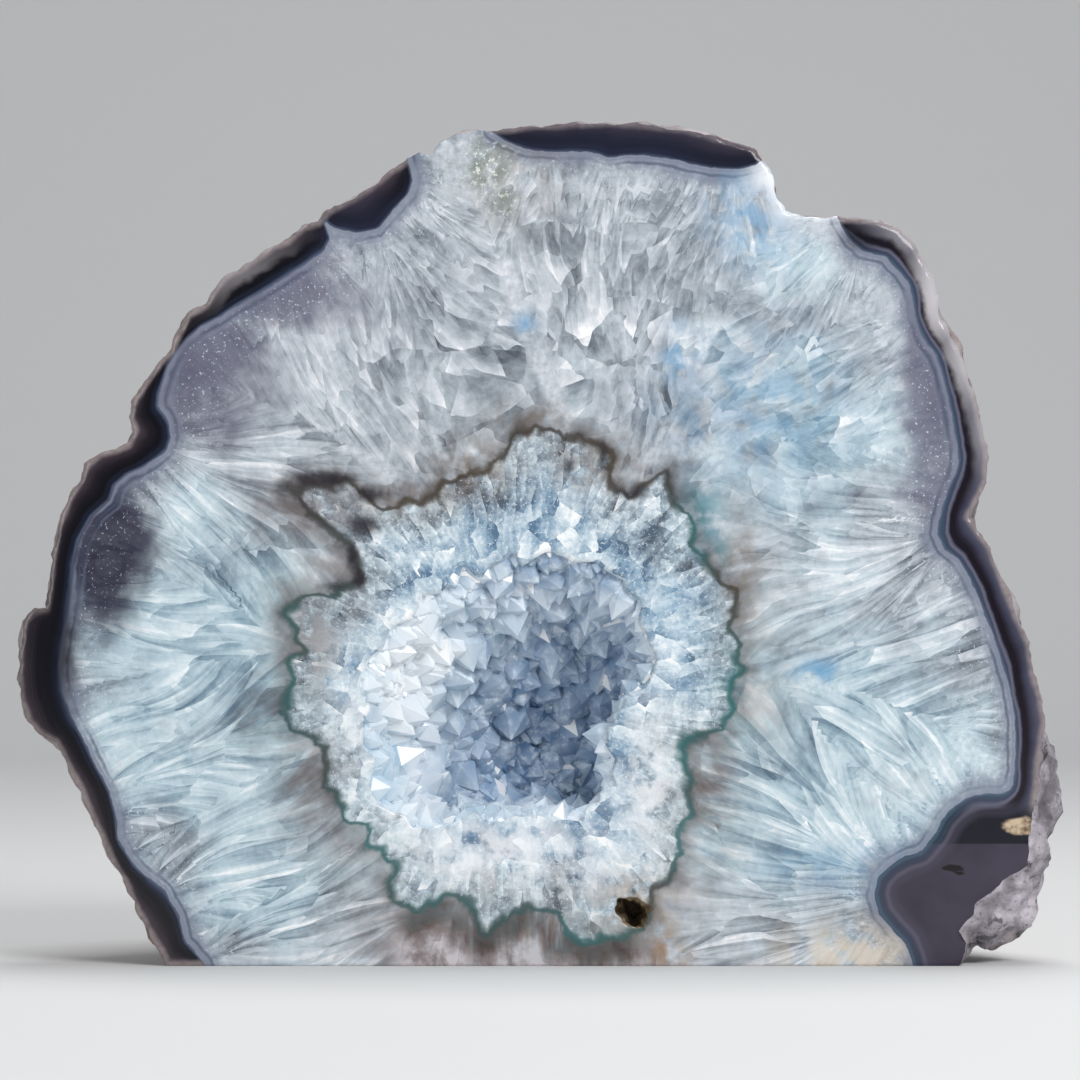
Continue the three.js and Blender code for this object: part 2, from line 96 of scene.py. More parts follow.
# Stains and tints: where each lies on the face (x, z), how far it reaches (x, z), and how strong it is
TINTS = {
    "smoke": [
        (33, 36, 6, 12, 1.0), (43, 52, 8, 9, 0.55), (-46, 37, 7, 9, 0.9), (-38, 24, 7, 6, 0.6),
        (-21, 5, 13, 10, 1.25), (-2, 4, 11, 9, 1.25), (12, 2, 9, 6, 1.0), (-46, 92, 9, 6, 1.0),
        (-40, 80, 7, 4, 0.8), (-50, 64, 5, 8, 0.5), (30, 19, 6, 7, 0.6), (41, 66, 6, 14, 0.5),
        (-56, 50, 6, 8, 0.5), (0, 103, 9, 5, 0.4), (38, 24, 8, 6, 0.35), (35, 42, 4, 7, 0.8),
        (39, 76, 4, 10, 0.7),
    ],
    "teal": [
        (33, 88, 5, 8, 1.0), (38, 55, 8, 16, 0.9), (28, 42, 9, 7, 0.9), (29, 26, 7, 9, 0.9),
        (-48, 62, 10, 16, 0.8), (-32, 26, 12, 12, 0.9), (8, 7, 20, 7, 0.8), (-20, 12, 12, 6, 0.7),
    ],
    "umber": [
        (-13, 100, 8, 5, 1.0), (-20, 96.5, 8, 3, 0.9), (-2, 109.5, 7, 3, 0.9), (12, 101, 9, 6, 0.7),
        (40, 78, 4, 12, 0.9), (-27, 93.5, 12, 4, 0.8), (-46, 64, 4, 7, 0.6), (-4, 156, 8, 8, 0.5),
        (18, 13, 7, 5, 0.8), (-50, 76, 6, 4, 0.5),
    ],
    "lagoon": [
        (32.5, 90, 3.4, 5.5, 1.0), (36, 83, 1.6, 4, 0.8), (29, 93, 2, 3, 0.7), (38.6, 57, 1.2, 6, 0.7),
    ],
    "amber": [(24.5, 4, 2.6, 6, 1.0), (27.5, 1.5, 3, 3, 0.7)],
    "dye": [
        (-3, 128, 2.2, 2.2, 1.0), (28, 122, 3.5, 5, 1.0), (43, 150, 8, 9, 0.8), (56, 59, 5, 2.2, 1.0),
        (45, 112, 15, 14, 0.5), (33, 86, 4, 7, 0.4), (30, 72, 8, 9, 0.3), (34, 110, 12, 9, 0.4),
        (58, 20, 14, 5, 0.4),
    ],
    "plum": [(-87, 84, 9, 14, 1.3), (-71, 116, 6, 8, 0.6)],
    "snow": [(48.5, 156.5, 2.6, 5, 1.0), (56, 152, 7, 2.2, 0.9)],
    "veiled": [(85.3, 42.5, 2.4, 3.2, 1.2)],
    "prism": [(-21, 4, 8.5, 10, 1.0), (-6, 3, 9, 9, 1.0), (12, 1, 11, 7, 1.0)],
    "mist": [(78, 116, 6, 32, 1.0), (-67, 119, 13, 13, 1.0), (-50, 134, 18, 8, 0.9), (-80, 98, 6, 8, 0.5)],
    "cream": [(62, 2, 14, 6, 1.0), (20, 12, 9, 6, 0.6)],
    "white": [
        (55, 153, 7, 5, 1.0), (46, 158, 4, 4, 0.9), (-33, 47, 8, 9, 0.8), (-26, 32, 6.5, 5.5, 1.0),
        (-8, 23, 22, 8, 0.8), (22, 36, 6, 16, 0.8), (5, 18, 14, 6, 0.5), (-40, 60, 8, 8, 0.3),
        (-70, 46, 6, 4, 0.3), (74, 36, 10, 4, 0.35), (50, 72, 14, 8, 0.12),
    ],
    "grit": [
        (-46, 66, 6, 8, 1.1), (-44, 56, 4, 6, 0.5), (-42, 70, 7, 6, 0.5), (-44, 92, 6, 4, 1.1),
        (-39, 90, 4, 3, 1.0), (15, 10, 10, 4, 0.6), (10, 98, 8, 5, 0.5), (-37, 74, 4, 4, 0.5),
    ],
    "navy": [(20, 165, 44, 9, 1.0), (-36, 150, 9, 8, 0.9)],
    "clear": [(-11, 160, 5, 5, 1.0), (-8, 153, 3, 4, 0.7)],
    "night": [
        (-35.3, 87.8, 3.6, 2.4, 1.0), (-44, 97.6, 7, 1.5, 1.0), (-34, 94.5, 4, 1.8, 0.9),
        (-51, 96, 3, 3, 0.6), (-37.4, 82, 1.2, 5, 0.8), (-36.2, 77.5, 1.4, 3, 0.9), (-41, 76, 4, 1, 0.6),
        (6, 100, 2, 1.6, 0.8), (12.6, 101.5, 1.4, 4, 0.7), (19, 94.6, 4, 1.4, 0.8), (-98, 64, 6, 16, 1.0),
        (-97, 50, 5, 10, 0.6), (65, 145.5, 5, 2.6, 0.8),
    ],
    "broken": [(95.5, 28, 4.5, 1.9, 0.85)],
    "chalk": [
        (74, 146, 6, 4, 0.5), (79, 134, 5, 10, 1.2), (85, 122, 5, 10, 0.9), (90, 108, 4, 8, 0.6),
        (-60, 138, 20, 5, 0.3),
    ],
    "eye": [(-86.3, 80.5, 3.6, 3.6, 1.0)],
    "pore": [(82.5, 19.6, 2.4, 0.8, 1.0), (84.2, 18.6, 1.6, 0.6, 0.8)],
    "cool": [
        (-68, 55, 32, 40, 1.0), (62, 40, 34, 32, 1.0), (52, 104, 26, 26, 0.7), (4, 60, 46, 46, 0.6),
        (50, 140, 18, 14, 0.5), (-56, 20, 24, 24, 0.8),
    ],
}
# Where the outer quartz is broad blades instead of fibres
BLADED = (6, 128, 68, 44)

HOLLOW_MIDDLE = np.array([-6.0, 55.0]) + TO_PART
FACE_MIDDLE = np.array([0.0, 62.0])
FOOT_MIDDLE = np.array([0.0, FACE_Y + 22.0, 0.0])

# Rings of squares on the face, on the hollow's wall and under the foot
FACE_RINGS = 56
WALL_RINGS = 10
FOOT_RINGS = 22

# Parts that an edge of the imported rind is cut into, and the step along the edge between face and foot
RIND_PARTS = 5
FLAT_EDGE_STEP = 1.4

# The rind's facets are rounded this often, this strongly, and no nearer to the face than this
ROUNDINGS = 5
ROUNDING = 0.6
FIRM_DEPTH = 11

# The rind's lumps: how high, how far across, layers of noise, and the noise's own shift
RIND_LUMPS = [(1.1, 14, 3, 0), (0.8, 5.5, 3, 50), (0.5, 2.6, 2, 20)]
DENT_DEPTH = 1.6
DENT_ACROSS = 8
DENT_START = 0.25
RIND_SINK = 0.25
CUT_FADE = 3.0
RIDGE_HEIGHT = 2.6
RIDGE_ACROSS = 8
RIDGE_SHARE = 0.3

# The broken lower right corner of the rind: in x, z and depth, where it starts and over how far it builds up
BROKEN_CORNER = ((82, 6), (54, -8), (26, -8))

# Chips along the edge of the face
CHIP_REACH = 4.5
CHIP_HEIGHT = 0.75
CHIP_ACROSS = 3.4

# Quartz points that the saw cut through round the hollow: how many, how high, and the seed of their draw.
# The side that SOFT_RIM points to, in radians, has the longest.
RIM_TEETH = [(19, 2.4, 8), (37, 2.2, 3), (67, 1.2, 5)]
SOFT_RIM = 2.5

# The small pit: its half sizes, its slant in radians, and its place on the face
PIT_SIZE = np.array([3.7, 9.0, 2.8])
PIT_TURN = -0.55
PIT_PLACE = (18.8, 10.6)

# Maps of the quartz's growth: millimetres across for each radian of a fan, outside and inside the growth
# line, where the inner map is cut, and the widest steps that a face and a fan may join
FAN_REACH = 26.0
INNER_ROUND = 40.0
SEAM_X = 18.8
LONGEST_STEP = 4.0
WIDEST_FAN_STEP = 14.0

# Parts of the face that get a finish of their own: how far from the growth line and from the agate both sides
# of it are made, how weak the prisms may be, and the part that has the first finish
LINE_REACH = 5.0
AGATE_REACH = 1.5
PRISM_START = 0.15
FIRST_PARTS = ("agate", "outer")

# Height of the level line in the solid agate at the lower right
WATER_LEVEL = (24.6, 24.3)

# The lining that the points stand on
LINING_COLUMNS = 160
LINING_RINGS = 34
LINING_FRONT = 1.2
LINING_BACK = 1.9
LINING_GAP = 0.35

# The points: corners and faces of each, the share of faces painted white as glints (a painted highlight),
# their width in millimetres, what is added to it deep down (from DEEP_FROM on) and on the slope, and what
# their nodes are given, with the spacing in metres and the sizes and the lean as shares
POINT_CORNERS = 13
POINT_FACES = 13
GLINTS = 0.022
POINT_WIDTH = 2.6
DEEP_WIDTH = 2.2
SLOPE_WIDTH = 1.2
DEEP_FROM = 16
POINT_INPUTS = {
    "Spacing": ("NodeSocketFloat", 0.00125), "Shortest": ("NodeSocketFloat", 0.6),
    "Longest": ("NodeSocketFloat", 1.9), "Lean": ("NodeSocketFloat", 0.45), "Seed": ("NodeSocketInt", 11),
}

# The studio, in metres: the floor's front, back and sides, the round sweep up to the wall, and its top
FLOOR_FRONT = -4.0
FLOOR_BACK = 1.0
FLOOR_SIDE = 3.0
SWEEP_ROUND = 0.5
SWEEP_STEPS = 12
WALL_TOP = 2.6

# The lights: name, place, aim and size in metres, and power in watts
LIGHTS = [
    ("key_light", (0.55, -0.8, 0.75), (0, 0, 0.085), (0.5, 0.5), 8.6),
    ("fill_light", (-0.8, -0.75, 0.3), (0, 0, 0.085), (0.5, 0.6), 3.0),
    ("top_light", (0.1, 0.1, 0.95), (0, 0, 0.085), (0.5, 0.4), 4.4),
    ("wall_light", (0, 0.7, 1.7), (0, 1.5, 0.5), (1.6, 0.5), 7.0),
]

# The camera, in metres: how far from the face, how wide a view and how high. Its sensor is in millimetres.
CAMERA_AWAY = 1.1
VIEW_WIDTH = 0.216
CAMERA_HEIGHT = 0.0852
SENSOR = 36


# Shapes
def cad_points(thing):
    """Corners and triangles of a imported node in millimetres, with its split corners joined again."""
    mesh = thing.data
    mesh.calc_loop_triangles()
    points = np.round(read(mesh.vertices, "co", 3) / MM, 3)
    unique, inverse = np.unique(points, axis=0, return_inverse=True)
    return unique, inverse.reshape(-1)[read(mesh.loop_triangles, "vertices", 3, int)]


def border_loops(triangles):
    """Closed loops of corners around a patch of triangles, in the triangles' own sense."""
    edges = {(t[i], t[(i + 1) % 3]) for t in triangles.tolist() for i in range(3)}
    follow = {a: b for a, b in edges if (b, a) not in edges}
    loops = []
    while follow:
        start, step = follow.popitem()
        loop = [start]
        while step != start:
            loop.append(step)
            step = follow.pop(step)
        loops.append(loop)
    return loops


def split_edge(a, b, parts):
    """Points from a up to, and without, b."""
    share = np.arange(parts)[:, None] / parts
    return a + (b - a) * share


def finer(points, triangles, parts):
    """Each triangle's edges are cut into parts, and the new corners come back as points and triangles."""
    grid = [(i, j) for i in range(parts + 1) for j in range(parts + 1 - i)]
    place = {ij: n for n, ij in enumerate(grid)}
    weight = np.array([(parts - i - j, i, j) for i, j in grid]) / parts
    corners = np.einsum("gc,tcx->tgx", weight, points[triangles])
    small = []
    for i, j in grid:
        if i + j < parts:
            small.append((place[i, j], place[i + 1, j], place[i, j + 1]))
        if i + j < parts - 1:
            small.append((place[i + 1, j], place[i + 1, j + 1], place[i, j + 1]))
    small = np.array(small)
    count = len(triangles)
    faces = (small[None] + (np.arange(count) * len(grid))[:, None, None]).reshape(-1, 3)
    unique, inverse = np.unique(np.round(corners.reshape(-1, 3), 3), axis=0, return_inverse=True)
    return unique, inverse.reshape(-1)[faces]


def neighbours_mean(points, faces):
    edges = np.vstack([faces[:, [0, 1]], faces[:, [1, 2]], faces[:, [2, 0]]])
    total = np.zeros_like(points)
    count = np.zeros(len(points))
    for a, b in ((0, 1), (1, 0)):
        np.add.at(total, edges[:, a], points[edges[:, b]])
        np.add.at(count, edges[:, a], 1)
    return total / count[:, None]


def corner_normals(points, faces):
    across = np.cross(points[faces[:, 1]] - points[faces[:, 0]], points[faces[:, 2]] - points[faces[:, 0]])
    normals = np.zeros_like(points)
    for corner in range(3):
        np.add.at(normals, faces[:, corner], across)
    return normals / np.maximum(np.linalg.norm(normals, axis=1), 1e-9)[:, None]


def distance_to(points, contour):
    """Distance from each point to a closed contour, above 0 inside it, and the nearest place on it."""
    start = np.array(contour, float)
    end = np.roll(start, -1, axis=0)
    best = np.full(len(points), 1e9)
    nearest = np.zeros_like(points)
    inside = np.zeros(len(points), bool)
    for a, b in zip(start, end):
        run = b - a
        share = np.clip(((points - a) @ run) / max(run @ run, 1e-12), 0, 1)
        place = a + share[:, None] * run
        gap = np.linalg.norm(points - place, axis=1)
        closer = gap < best
        best[closer] = gap[closer]
        nearest[closer] = place[closer]
        if a[1] != b[1]:
            crosses = ((a[1] > points[:, 1]) != (b[1] > points[:, 1]))
            at = a[0] + (points[:, 1] - a[1]) / (b[1] - a[1]) * run[0]
            inside ^= crosses & (points[:, 0] < at)
    return np.where(inside, best, -best), nearest


def rough(point, across, layers=3):
    """Smooth noise around 0 whose lumps are about that many millimetres across."""
    return noise.fractal(Vector(point) / across, 1.0, 2.0, layers)


def rise(values, start, reach):
    """0 up to start, and 1 from start + reach on. With a reach below 0 it runs the other way."""
    return np.clip((values - start) / reach, 0, 1)


def place_new(name, data):
    """A new object of the scene that shows this mesh, light or camera."""
    thing = bpy.data.objects.new(name, data)
    bpy.context.scene.collection.objects.link(thing)
    return thing


def make_mesh(name, points, faces, slots, materials, smooth=True):
    """A mesh object from corners in millimetres. slots gives each face's place among the materials."""
    mesh = bpy.data.meshes.new(name)
    mesh.from_pydata((np.asarray(points) * MM).tolist(), [], [list(map(int, f)) for f in faces])
    for material in materials:
        mesh.materials.append(material)
    mesh.polygons.foreach_set("material_index", np.asarray(slots, np.int32))
    mesh.polygons.foreach_set("use_smooth", np.full(len(mesh.polygons), smooth))
    return place_new(name, mesh)


def read(items, field, wide=1, kind=float):
    """One field of every item as an array, with a row for each item where the field is wide."""
    values = np.empty(len(items) * wide, kind)
    items.foreach_get(field, values)
    return values.reshape(-1, wide) if wide > 1 else values


def join_corners(thing, gap=2e-6):
    work = bmesh.new()
    work.from_mesh(thing.data)
    bmesh.ops.remove_doubles(work, verts=work.verts, dist=gap)
    bmesh.ops.recalc_face_normals(work, faces=work.faces)
    work.to_mesh(thing.data)
    work.free()


def store(mesh, name, values, domain="POINT"):
    values = np.asarray(values, np.float32)
    kind = "FLOAT" if values.ndim == 1 else "FLOAT_VECTOR"
    field = "value" if values.ndim == 1 else "vector"
    layer = mesh.attributes.new(name, kind, domain)
    layer.data.foreach_set(field, values.ravel())


# The stone
def build_rings(outer, inner, rings):
    """Points from the inner loop out to the outer one, ring by ring."""
    shares = np.linspace(0, 1, rings + 1)
    return np.array([inner + (outer - inner) * share for share in shares])


def ring_faces(first, columns, rings, outward):
    """Squares between rings of corners that follow one another from number first."""
    faces = []
    for ring in range(rings):
        for column in range(columns):
            a = first + ring * columns + column
            b = first + ring * columns + (column + 1) % columns
            square = (a, b, b + columns, a + columns)
            faces.append(square if outward else square[::-1])
    return faces


def edge_towards(contour, middle, directions):
    """Where rays from middle leave a closed contour that goes round it once."""
    start = contour
    run = np.roll(contour, -1, axis=0) - contour
    out = np.empty_like(directions)
    for n, way in enumerate(directions):
        cross = way[0] * run[:, 1] - way[1] * run[:, 0]
        gap = start - middle
        with np.errstate(divide="ignore", invalid="ignore"):
            along = (gap[:, 0] * run[:, 1] - gap[:, 1] * run[:, 0]) / cross
            share = (gap[:, 0] * way[1] - gap[:, 1] * way[0]) / cross
        hit = (share > -1e-6) & (share < 1 + 1e-6) & (along > 0)
        out[n] = middle + way * along[hit].max()
    return out


def inward(way, tilt):
    """A direction along the face, turned into the stone by tilt, in radians."""
    return Vector((way[0] * math.cos(tilt), math.sin(tilt), way[1] * math.cos(tilt)))


def bowl_faces(columns, rings):
    """Squares between rings of corners, and triangles from the last ring to one more corner."""
    last = (rings - 1) * columns
    closing = [(last + c, last + (c + 1) % columns, last + columns) for c in range(columns)]
    return ring_faces(0, columns, rings - 1, outward=True) + closing


def teeth(directions):
    """How far quartz points, cut through by the saw, stand into the hollow's mouth."""
    turn = np.arctan2(directions[:, 1], directions[:, 0])
    reach = np.zeros(len(turn))
    soft = 0.5 + 0.5 * np.cos(turn - SOFT_RIM)
    for count, high, seed in RIM_TEETH:
        draw = np.random.default_rng(seed)
        place = np.sort((np.arange(count) + draw.uniform(-0.35, 0.35, count)) / count * 2 * math.pi - math.pi)
        height = draw.uniform(0.1, 1.0, count) * high
        height[::2] *= 0.1
        reach += np.interp(turn, place, height, period=2 * math.pi)
    return reach * (0.85 + 0.5 * soft)


def read_stone():
    """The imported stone's corners, loops of its face, hollow and foot, its outside and its hollow's wall."""
    points, triangles = cad_points(STONE)
    on_face = (points[triangles][:, :, 1] < FACE_Y + 0.01).all(axis=1)
    on_foot = (points[triangles][:, :, 2] < 0.01).all(axis=1)
    loops = sorted(border_loops(triangles[on_face]), key=lambda loop: np.ptp(points[loop][:, 0]))
    face_loop, hollow_loop = loops[-1], loops[-2]
    foot_loop = max(border_loops(triangles[on_foot]), key=len)
    rest = triangles[~on_face & ~on_foot]
    group = {}
    for seed in (face_loop[0], hollow_loop[0]):
        found = {seed}
        grown = True
        while grown:
            touches = np.isin(rest, list(found)).any(axis=1)
            fresh = set(rest[touches].ravel().tolist()) - found
            grown = bool(fresh)
            found |= fresh
        group[seed] = rest[np.isin(rest, list(found)).all(axis=1)]
    outside, wall = group[face_loop[0]], group[hollow_loop[0]]
    return points, face_loop, hollow_loop, foot_loop, outside, wall


def fine_loop(points, loop, flat):
    """A loop with its edges cut as the rind's are, or into short steps where both ends are in flat."""
    pieces = []
    for a, b in zip(loop, loop[1:] + loop[:1]):
        parts = RIND_PARTS
        if a in flat and b in flat:
            parts = max(1, round(np.linalg.norm(points[b] - points[a]) / FLAT_EDGE_STEP))
        pieces.append(split_edge(points[a], points[b], parts))
    return np.vstack(pieces)


def weather(points, faces, fixed):
    """Rounds the rind's facets and gives it lumps, pits and grain, with its borders left in place."""
    near_cut = np.minimum(points[:, 1] - FACE_Y, points[:, 2])
    firm = fixed | (points[:, 1] < FACE_Y + FIRM_DEPTH)
    for _ in range(ROUNDINGS):
        mean = neighbours_mean(points, faces)
        points = np.where(firm[:, None], points, (1 - ROUNDING) * points + ROUNDING * mean)
    normals = corner_normals(points, faces)
    lift = np.array([
        sum(high * rough(p + shift, across, layers) for high, across, layers, shift in RIND_LUMPS)
        - DENT_DEPTH * max(0, rough(p + 90, DENT_ACROSS, 2) - DENT_START)
        for p in points
    ])
    across, up, deep = BROKEN_CORNER
    corner = rise(points[:, 0], *across) * rise(points[:, 2], *up) * rise(points[:, 1] - FACE_Y, *deep)
    ridges = np.array([RIDGE_SHARE - abs(rough(p + 33, RIDGE_ACROSS)) for p in points])
    lift += RIDGE_HEIGHT * ridges * corner
    fade = rise(near_cut, 0, CUT_FADE)
    fade[fixed] = 0
    return points + normals * ((lift - RIND_SINK) * fade)[:, None]


def chip_rim(points, rim):
    """Small chips along the edge of the polished face. Nothing moves at the foot."""
    tree = KDTree(len(rim))
    for n, place in enumerate(rim):
        tree.insert(place, n)
    tree.balance()
    away = np.array([tree.find(p)[2] for p in points])
    fade = rise(away, CHIP_REACH, -CHIP_REACH) * rise(points[:, 2], 0, CHIP_REACH)
    moved = points.copy()
    for n in np.flatnonzero(fade > 0):
        flat = Vector((points[n, 0], points[n, 2], 0))
        inward = FACE_MIDDLE - points[n, [0, 2]]
        inward /= np.linalg.norm(inward)
        moved[n, [0, 2]] += inward * (CHIP_HEIGHT * fade[n] * (0.2 + rough(flat, CHIP_ACROSS)))
    return moved


def build_stone(materials):
    points, face_loop, hollow_loop, foot_loop, outside, wall = read_stone()
    flat = set(face_loop) & set(foot_loop)
    corners, faces, slots = [], [], []

    def add(new_points, new_faces, slot):
        first = sum(len(c) for c in corners)
        corners.append(np.asarray(new_points))
        faces.extend([tuple(i + first for i in f) for f in new_faces])
        slots.extend([slot] * len(new_faces))

    rind_points, rind_faces = finer(points, outside, RIND_PARTS)
    fixed = (np.abs(rind_points[:, 1] - FACE_Y) < 0.01) | (rind_points[:, 2] < 0.01)
    add(weather(rind_points, rind_faces, fixed), rind_faces.tolist(), 1)

    outer = fine_loop(points, face_loop, flat)[:, [0, 2]]
    directions = outer - HOLLOW_MIDDLE
    directions /= np.linalg.norm(directions, axis=1)[:, None]
    hollow_edge = points[hollow_loop][:, [0, 2]]
    inner = edge_towards(hollow_edge, HOLLOW_MIDDLE, directions)
    inner = inner - directions * teeth(directions)[:, None]
    rings = build_rings(outer, inner, FACE_RINGS)
    columns = len(outer)
    flat_points = np.insert(rings.reshape(-1, 2), 1, FACE_Y, axis=1)
    wall_tree = BVHTree.FromPolygons(points.tolist(), wall.tolist())
    wall_points = []
    centre = Vector((HOLLOW_MIDDLE[0], FACE_Y + 1.0, HOLLOW_MIDDLE[1]))
    for ring in range(1, WALL_RINGS):
        tilt = ring / WALL_RINGS * math.pi / 2
        for way in directions:
            wall_points.append(tuple(wall_tree.ray_cast(centre, inward(way, tilt))[0]))
    bottom = tuple(wall_tree.ray_cast(centre, Vector((0, 1, 0)))[0])
    add(flat_points, ring_faces(0, columns, FACE_RINGS, outward=True), 0)
    inner_ring = np.insert(inner, 1, FACE_Y, axis=1)
    add(np.vstack([inner_ring, wall_points, [bottom]]), bowl_faces(columns, WALL_RINGS), 3)

    foot = fine_loop(points, foot_loop, flat)
    foot_rings = build_rings(foot, np.broadcast_to(FOOT_MIDDLE, foot.shape), FOOT_RINGS)[1:]
    foot_points = np.vstack([foot_rings.reshape(-1, 3), FOOT_MIDDLE])
    spokes = [(FOOT_RINGS * len(foot), c, (c + 1) % len(foot)) for c in range(len(foot))]
    add(foot_points, ring_faces(0, len(foot), FOOT_RINGS - 1, outward=True) + spokes, 2)

    shaped = chip_rim(np.vstack(corners), np.insert(outer, 1, FACE_Y, axis=1))
    stone = make_mesh("polished_geode", shaped, faces, slots, materials)
    join_corners(stone)
    return stone


def cut_pit(stone, inside):
    """Opens the small pit below the hollow, with rough walls."""
    bpy.ops.mesh.primitive_ico_sphere_add(subdivisions=5, radius=1)
    cutter = bpy.context.object
    cutter.name = "pit_shape"
    points = np.array([v.co[:] for v in cutter.data.vertices])
    bumps = np.array([1 + 0.35 * rough(p * 3.2, 2.1, 2) for p in points])
    points = points * bumps[:, None] * PIT_SIZE
    x = points[:, 0] * math.cos(PIT_TURN) - points[:, 2] * math.sin(PIT_TURN)
    z = points[:, 0] * math.sin(PIT_TURN) + points[:, 2] * math.cos(PIT_TURN)
    points = np.stack([x + PIT_PLACE[0] + TO_PART[0], points[:, 1] + FACE_Y, z + PIT_PLACE[1]], axis=1)
    cutter.data.vertices.foreach_set("co", (points * MM).ravel())
    cutter.data.materials.append(inside)
    cut = stone.modifiers.new("pit", "BOOLEAN")
    cut.object = cutter
    cut.operation = "DIFFERENCE"
    cut.solver = "EXACT"
    cut.material_mode = "TRANSFER"
    bake_modifiers(stone)
    bpy.data.objects.remove(cutter)


def bake_modifiers(thing):
    """Turns a thing's modifiers into its plain mesh."""
    bpy.context.view_layer.update()
    seen = thing.evaluated_get(bpy.context.evaluated_depsgraph_get())
    mesh = bpy.data.meshes.new_from_object(seen)
    thing.modifiers.clear()
    thing.data = mesh
    mesh.name = thing.name


def fade_of(points, spots):
    """How strongly a list of soft oval spots covers each point, from 0 to 1."""
    cover = np.zeros(len(points))
    for x, z, wide, high, strength in spots:
        away = ((points[:, 0] - x) / wide) ** 2 + ((points[:, 1] - z) / high) ** 2
        cover = np.maximum(cover, strength * np.exp(-0.9 * away))
    return cover


def across_growth(points, contour):
    """Place across the quartz's growth: the way along the contour to the nearest point on it, plus the fans
    that spread from its corners. Also the direction that leads across."""
    start = np.array(contour, float)
    lowest = np.flatnonzero(start[:, 1] < -30)[0]
    seam = np.array([SEAM_X, start[lowest, 1]])
    start = np.vstack([seam, np.roll(start, -lowest - 1, axis=0)])
    run = np.roll(start, -1, axis=0) - start
    length = np.linalg.norm(run, axis=1)
    facing = np.arctan2(-run[:, 0], run[:, 1])
    facing = np.unwrap(facing)
    before = np.concatenate([[0], np.cumsum(length)[:-1]])
    best = np.full(len(points), 1e9)
    across = np.zeros(len(points))
    turn = np.zeros(len(points))
    for n, a in enumerate(start):
        share = np.clip(((points - a) @ run[n]) / length[n] ** 2, 0, 1)
        gap = points - (a + share[:, None] * run[n])
        away = np.linalg.norm(gap, axis=1)
        way = np.arctan2(gap[:, 1], gap[:, 0])
        way += 2 * math.pi * np.round((facing[n] - way) / (2 * math.pi))
        closer = away < best
        best[closer] = away[closer]
        across[closer] = (before[n] + share * length[n] + FAN_REACH * way)[closer]
        turn[closer] = way[closer]
    return across, np.stack([-np.sin(turn), np.cos(turn)], axis=1)


def lay_map(mesh, name, points, across, along, sideways, seam=None):
    """A flat map of the quartz, across and along its growth. A face that would join two far parts of the map
    keeps to the part of its first corner. seam names a value to store where parts very far apart meet."""
    corners = read(mesh.loops, "vertex_index", kind=int)
    first = read(mesh.polygons, "loop_start", kind=int)
    total = read(mesh.polygons, "loop_total", kind=int)
    lead = np.repeat(corners[first], total)
    step = across[corners] - across[lead]
    torn = np.repeat(np.maximum.reduceat(np.abs(step), first) > LONGEST_STEP, total)
    flat = np.einsum("ij,ij->i", points[corners] - points[lead], sideways[lead])
    around = across[lead] + np.where(torn, flat, step)
    if seam:
        far = np.repeat(np.maximum.reduceat(np.abs(step), first) > WIDEST_FAN_STEP, total)
        torn_corners = np.zeros(len(mesh.vertices))
        torn_corners[corners[far]] = 1
        edges = read(mesh.edges, "vertices", 2, int)
        spread = torn_corners.copy()
        for a, b in ((0, 1), (1, 0)):
            np.maximum.at(spread, edges[:, a], torn_corners[edges[:, b]] * 0.5)
        store(mesh, seam, spread)
    layer = mesh.uv_layers.new(name=name)
    layer.data.foreach_set("uv", np.stack([around, along[corners]], axis=1).astype(np.float32).ravel())


def split_face(mesh, from_line, from_agate, prisms):
    """Gives each part of the face a finish that makes only what can show there."""
    places = {FIRST_PARTS: 0}
    for side in mesh.polygons:
        if side.material_index != 0:
            continue
        corners = list(side.vertices)
        shown = {
            "agate": from_agate[corners].min() < AGATE_REACH, "outer": from_line[corners].min() < LINE_REACH,
            "inner": from_line[corners].max() > -LINE_REACH, "prisms": prisms[corners].max() > PRISM_START,
        }
        parts = tuple(word for word in shown if shown[word])
        if parts not in places:
            places[parts] = len(mesh.materials)
            mesh.materials.append(make_face_finish(parts))
        side.material_index = places[parts]


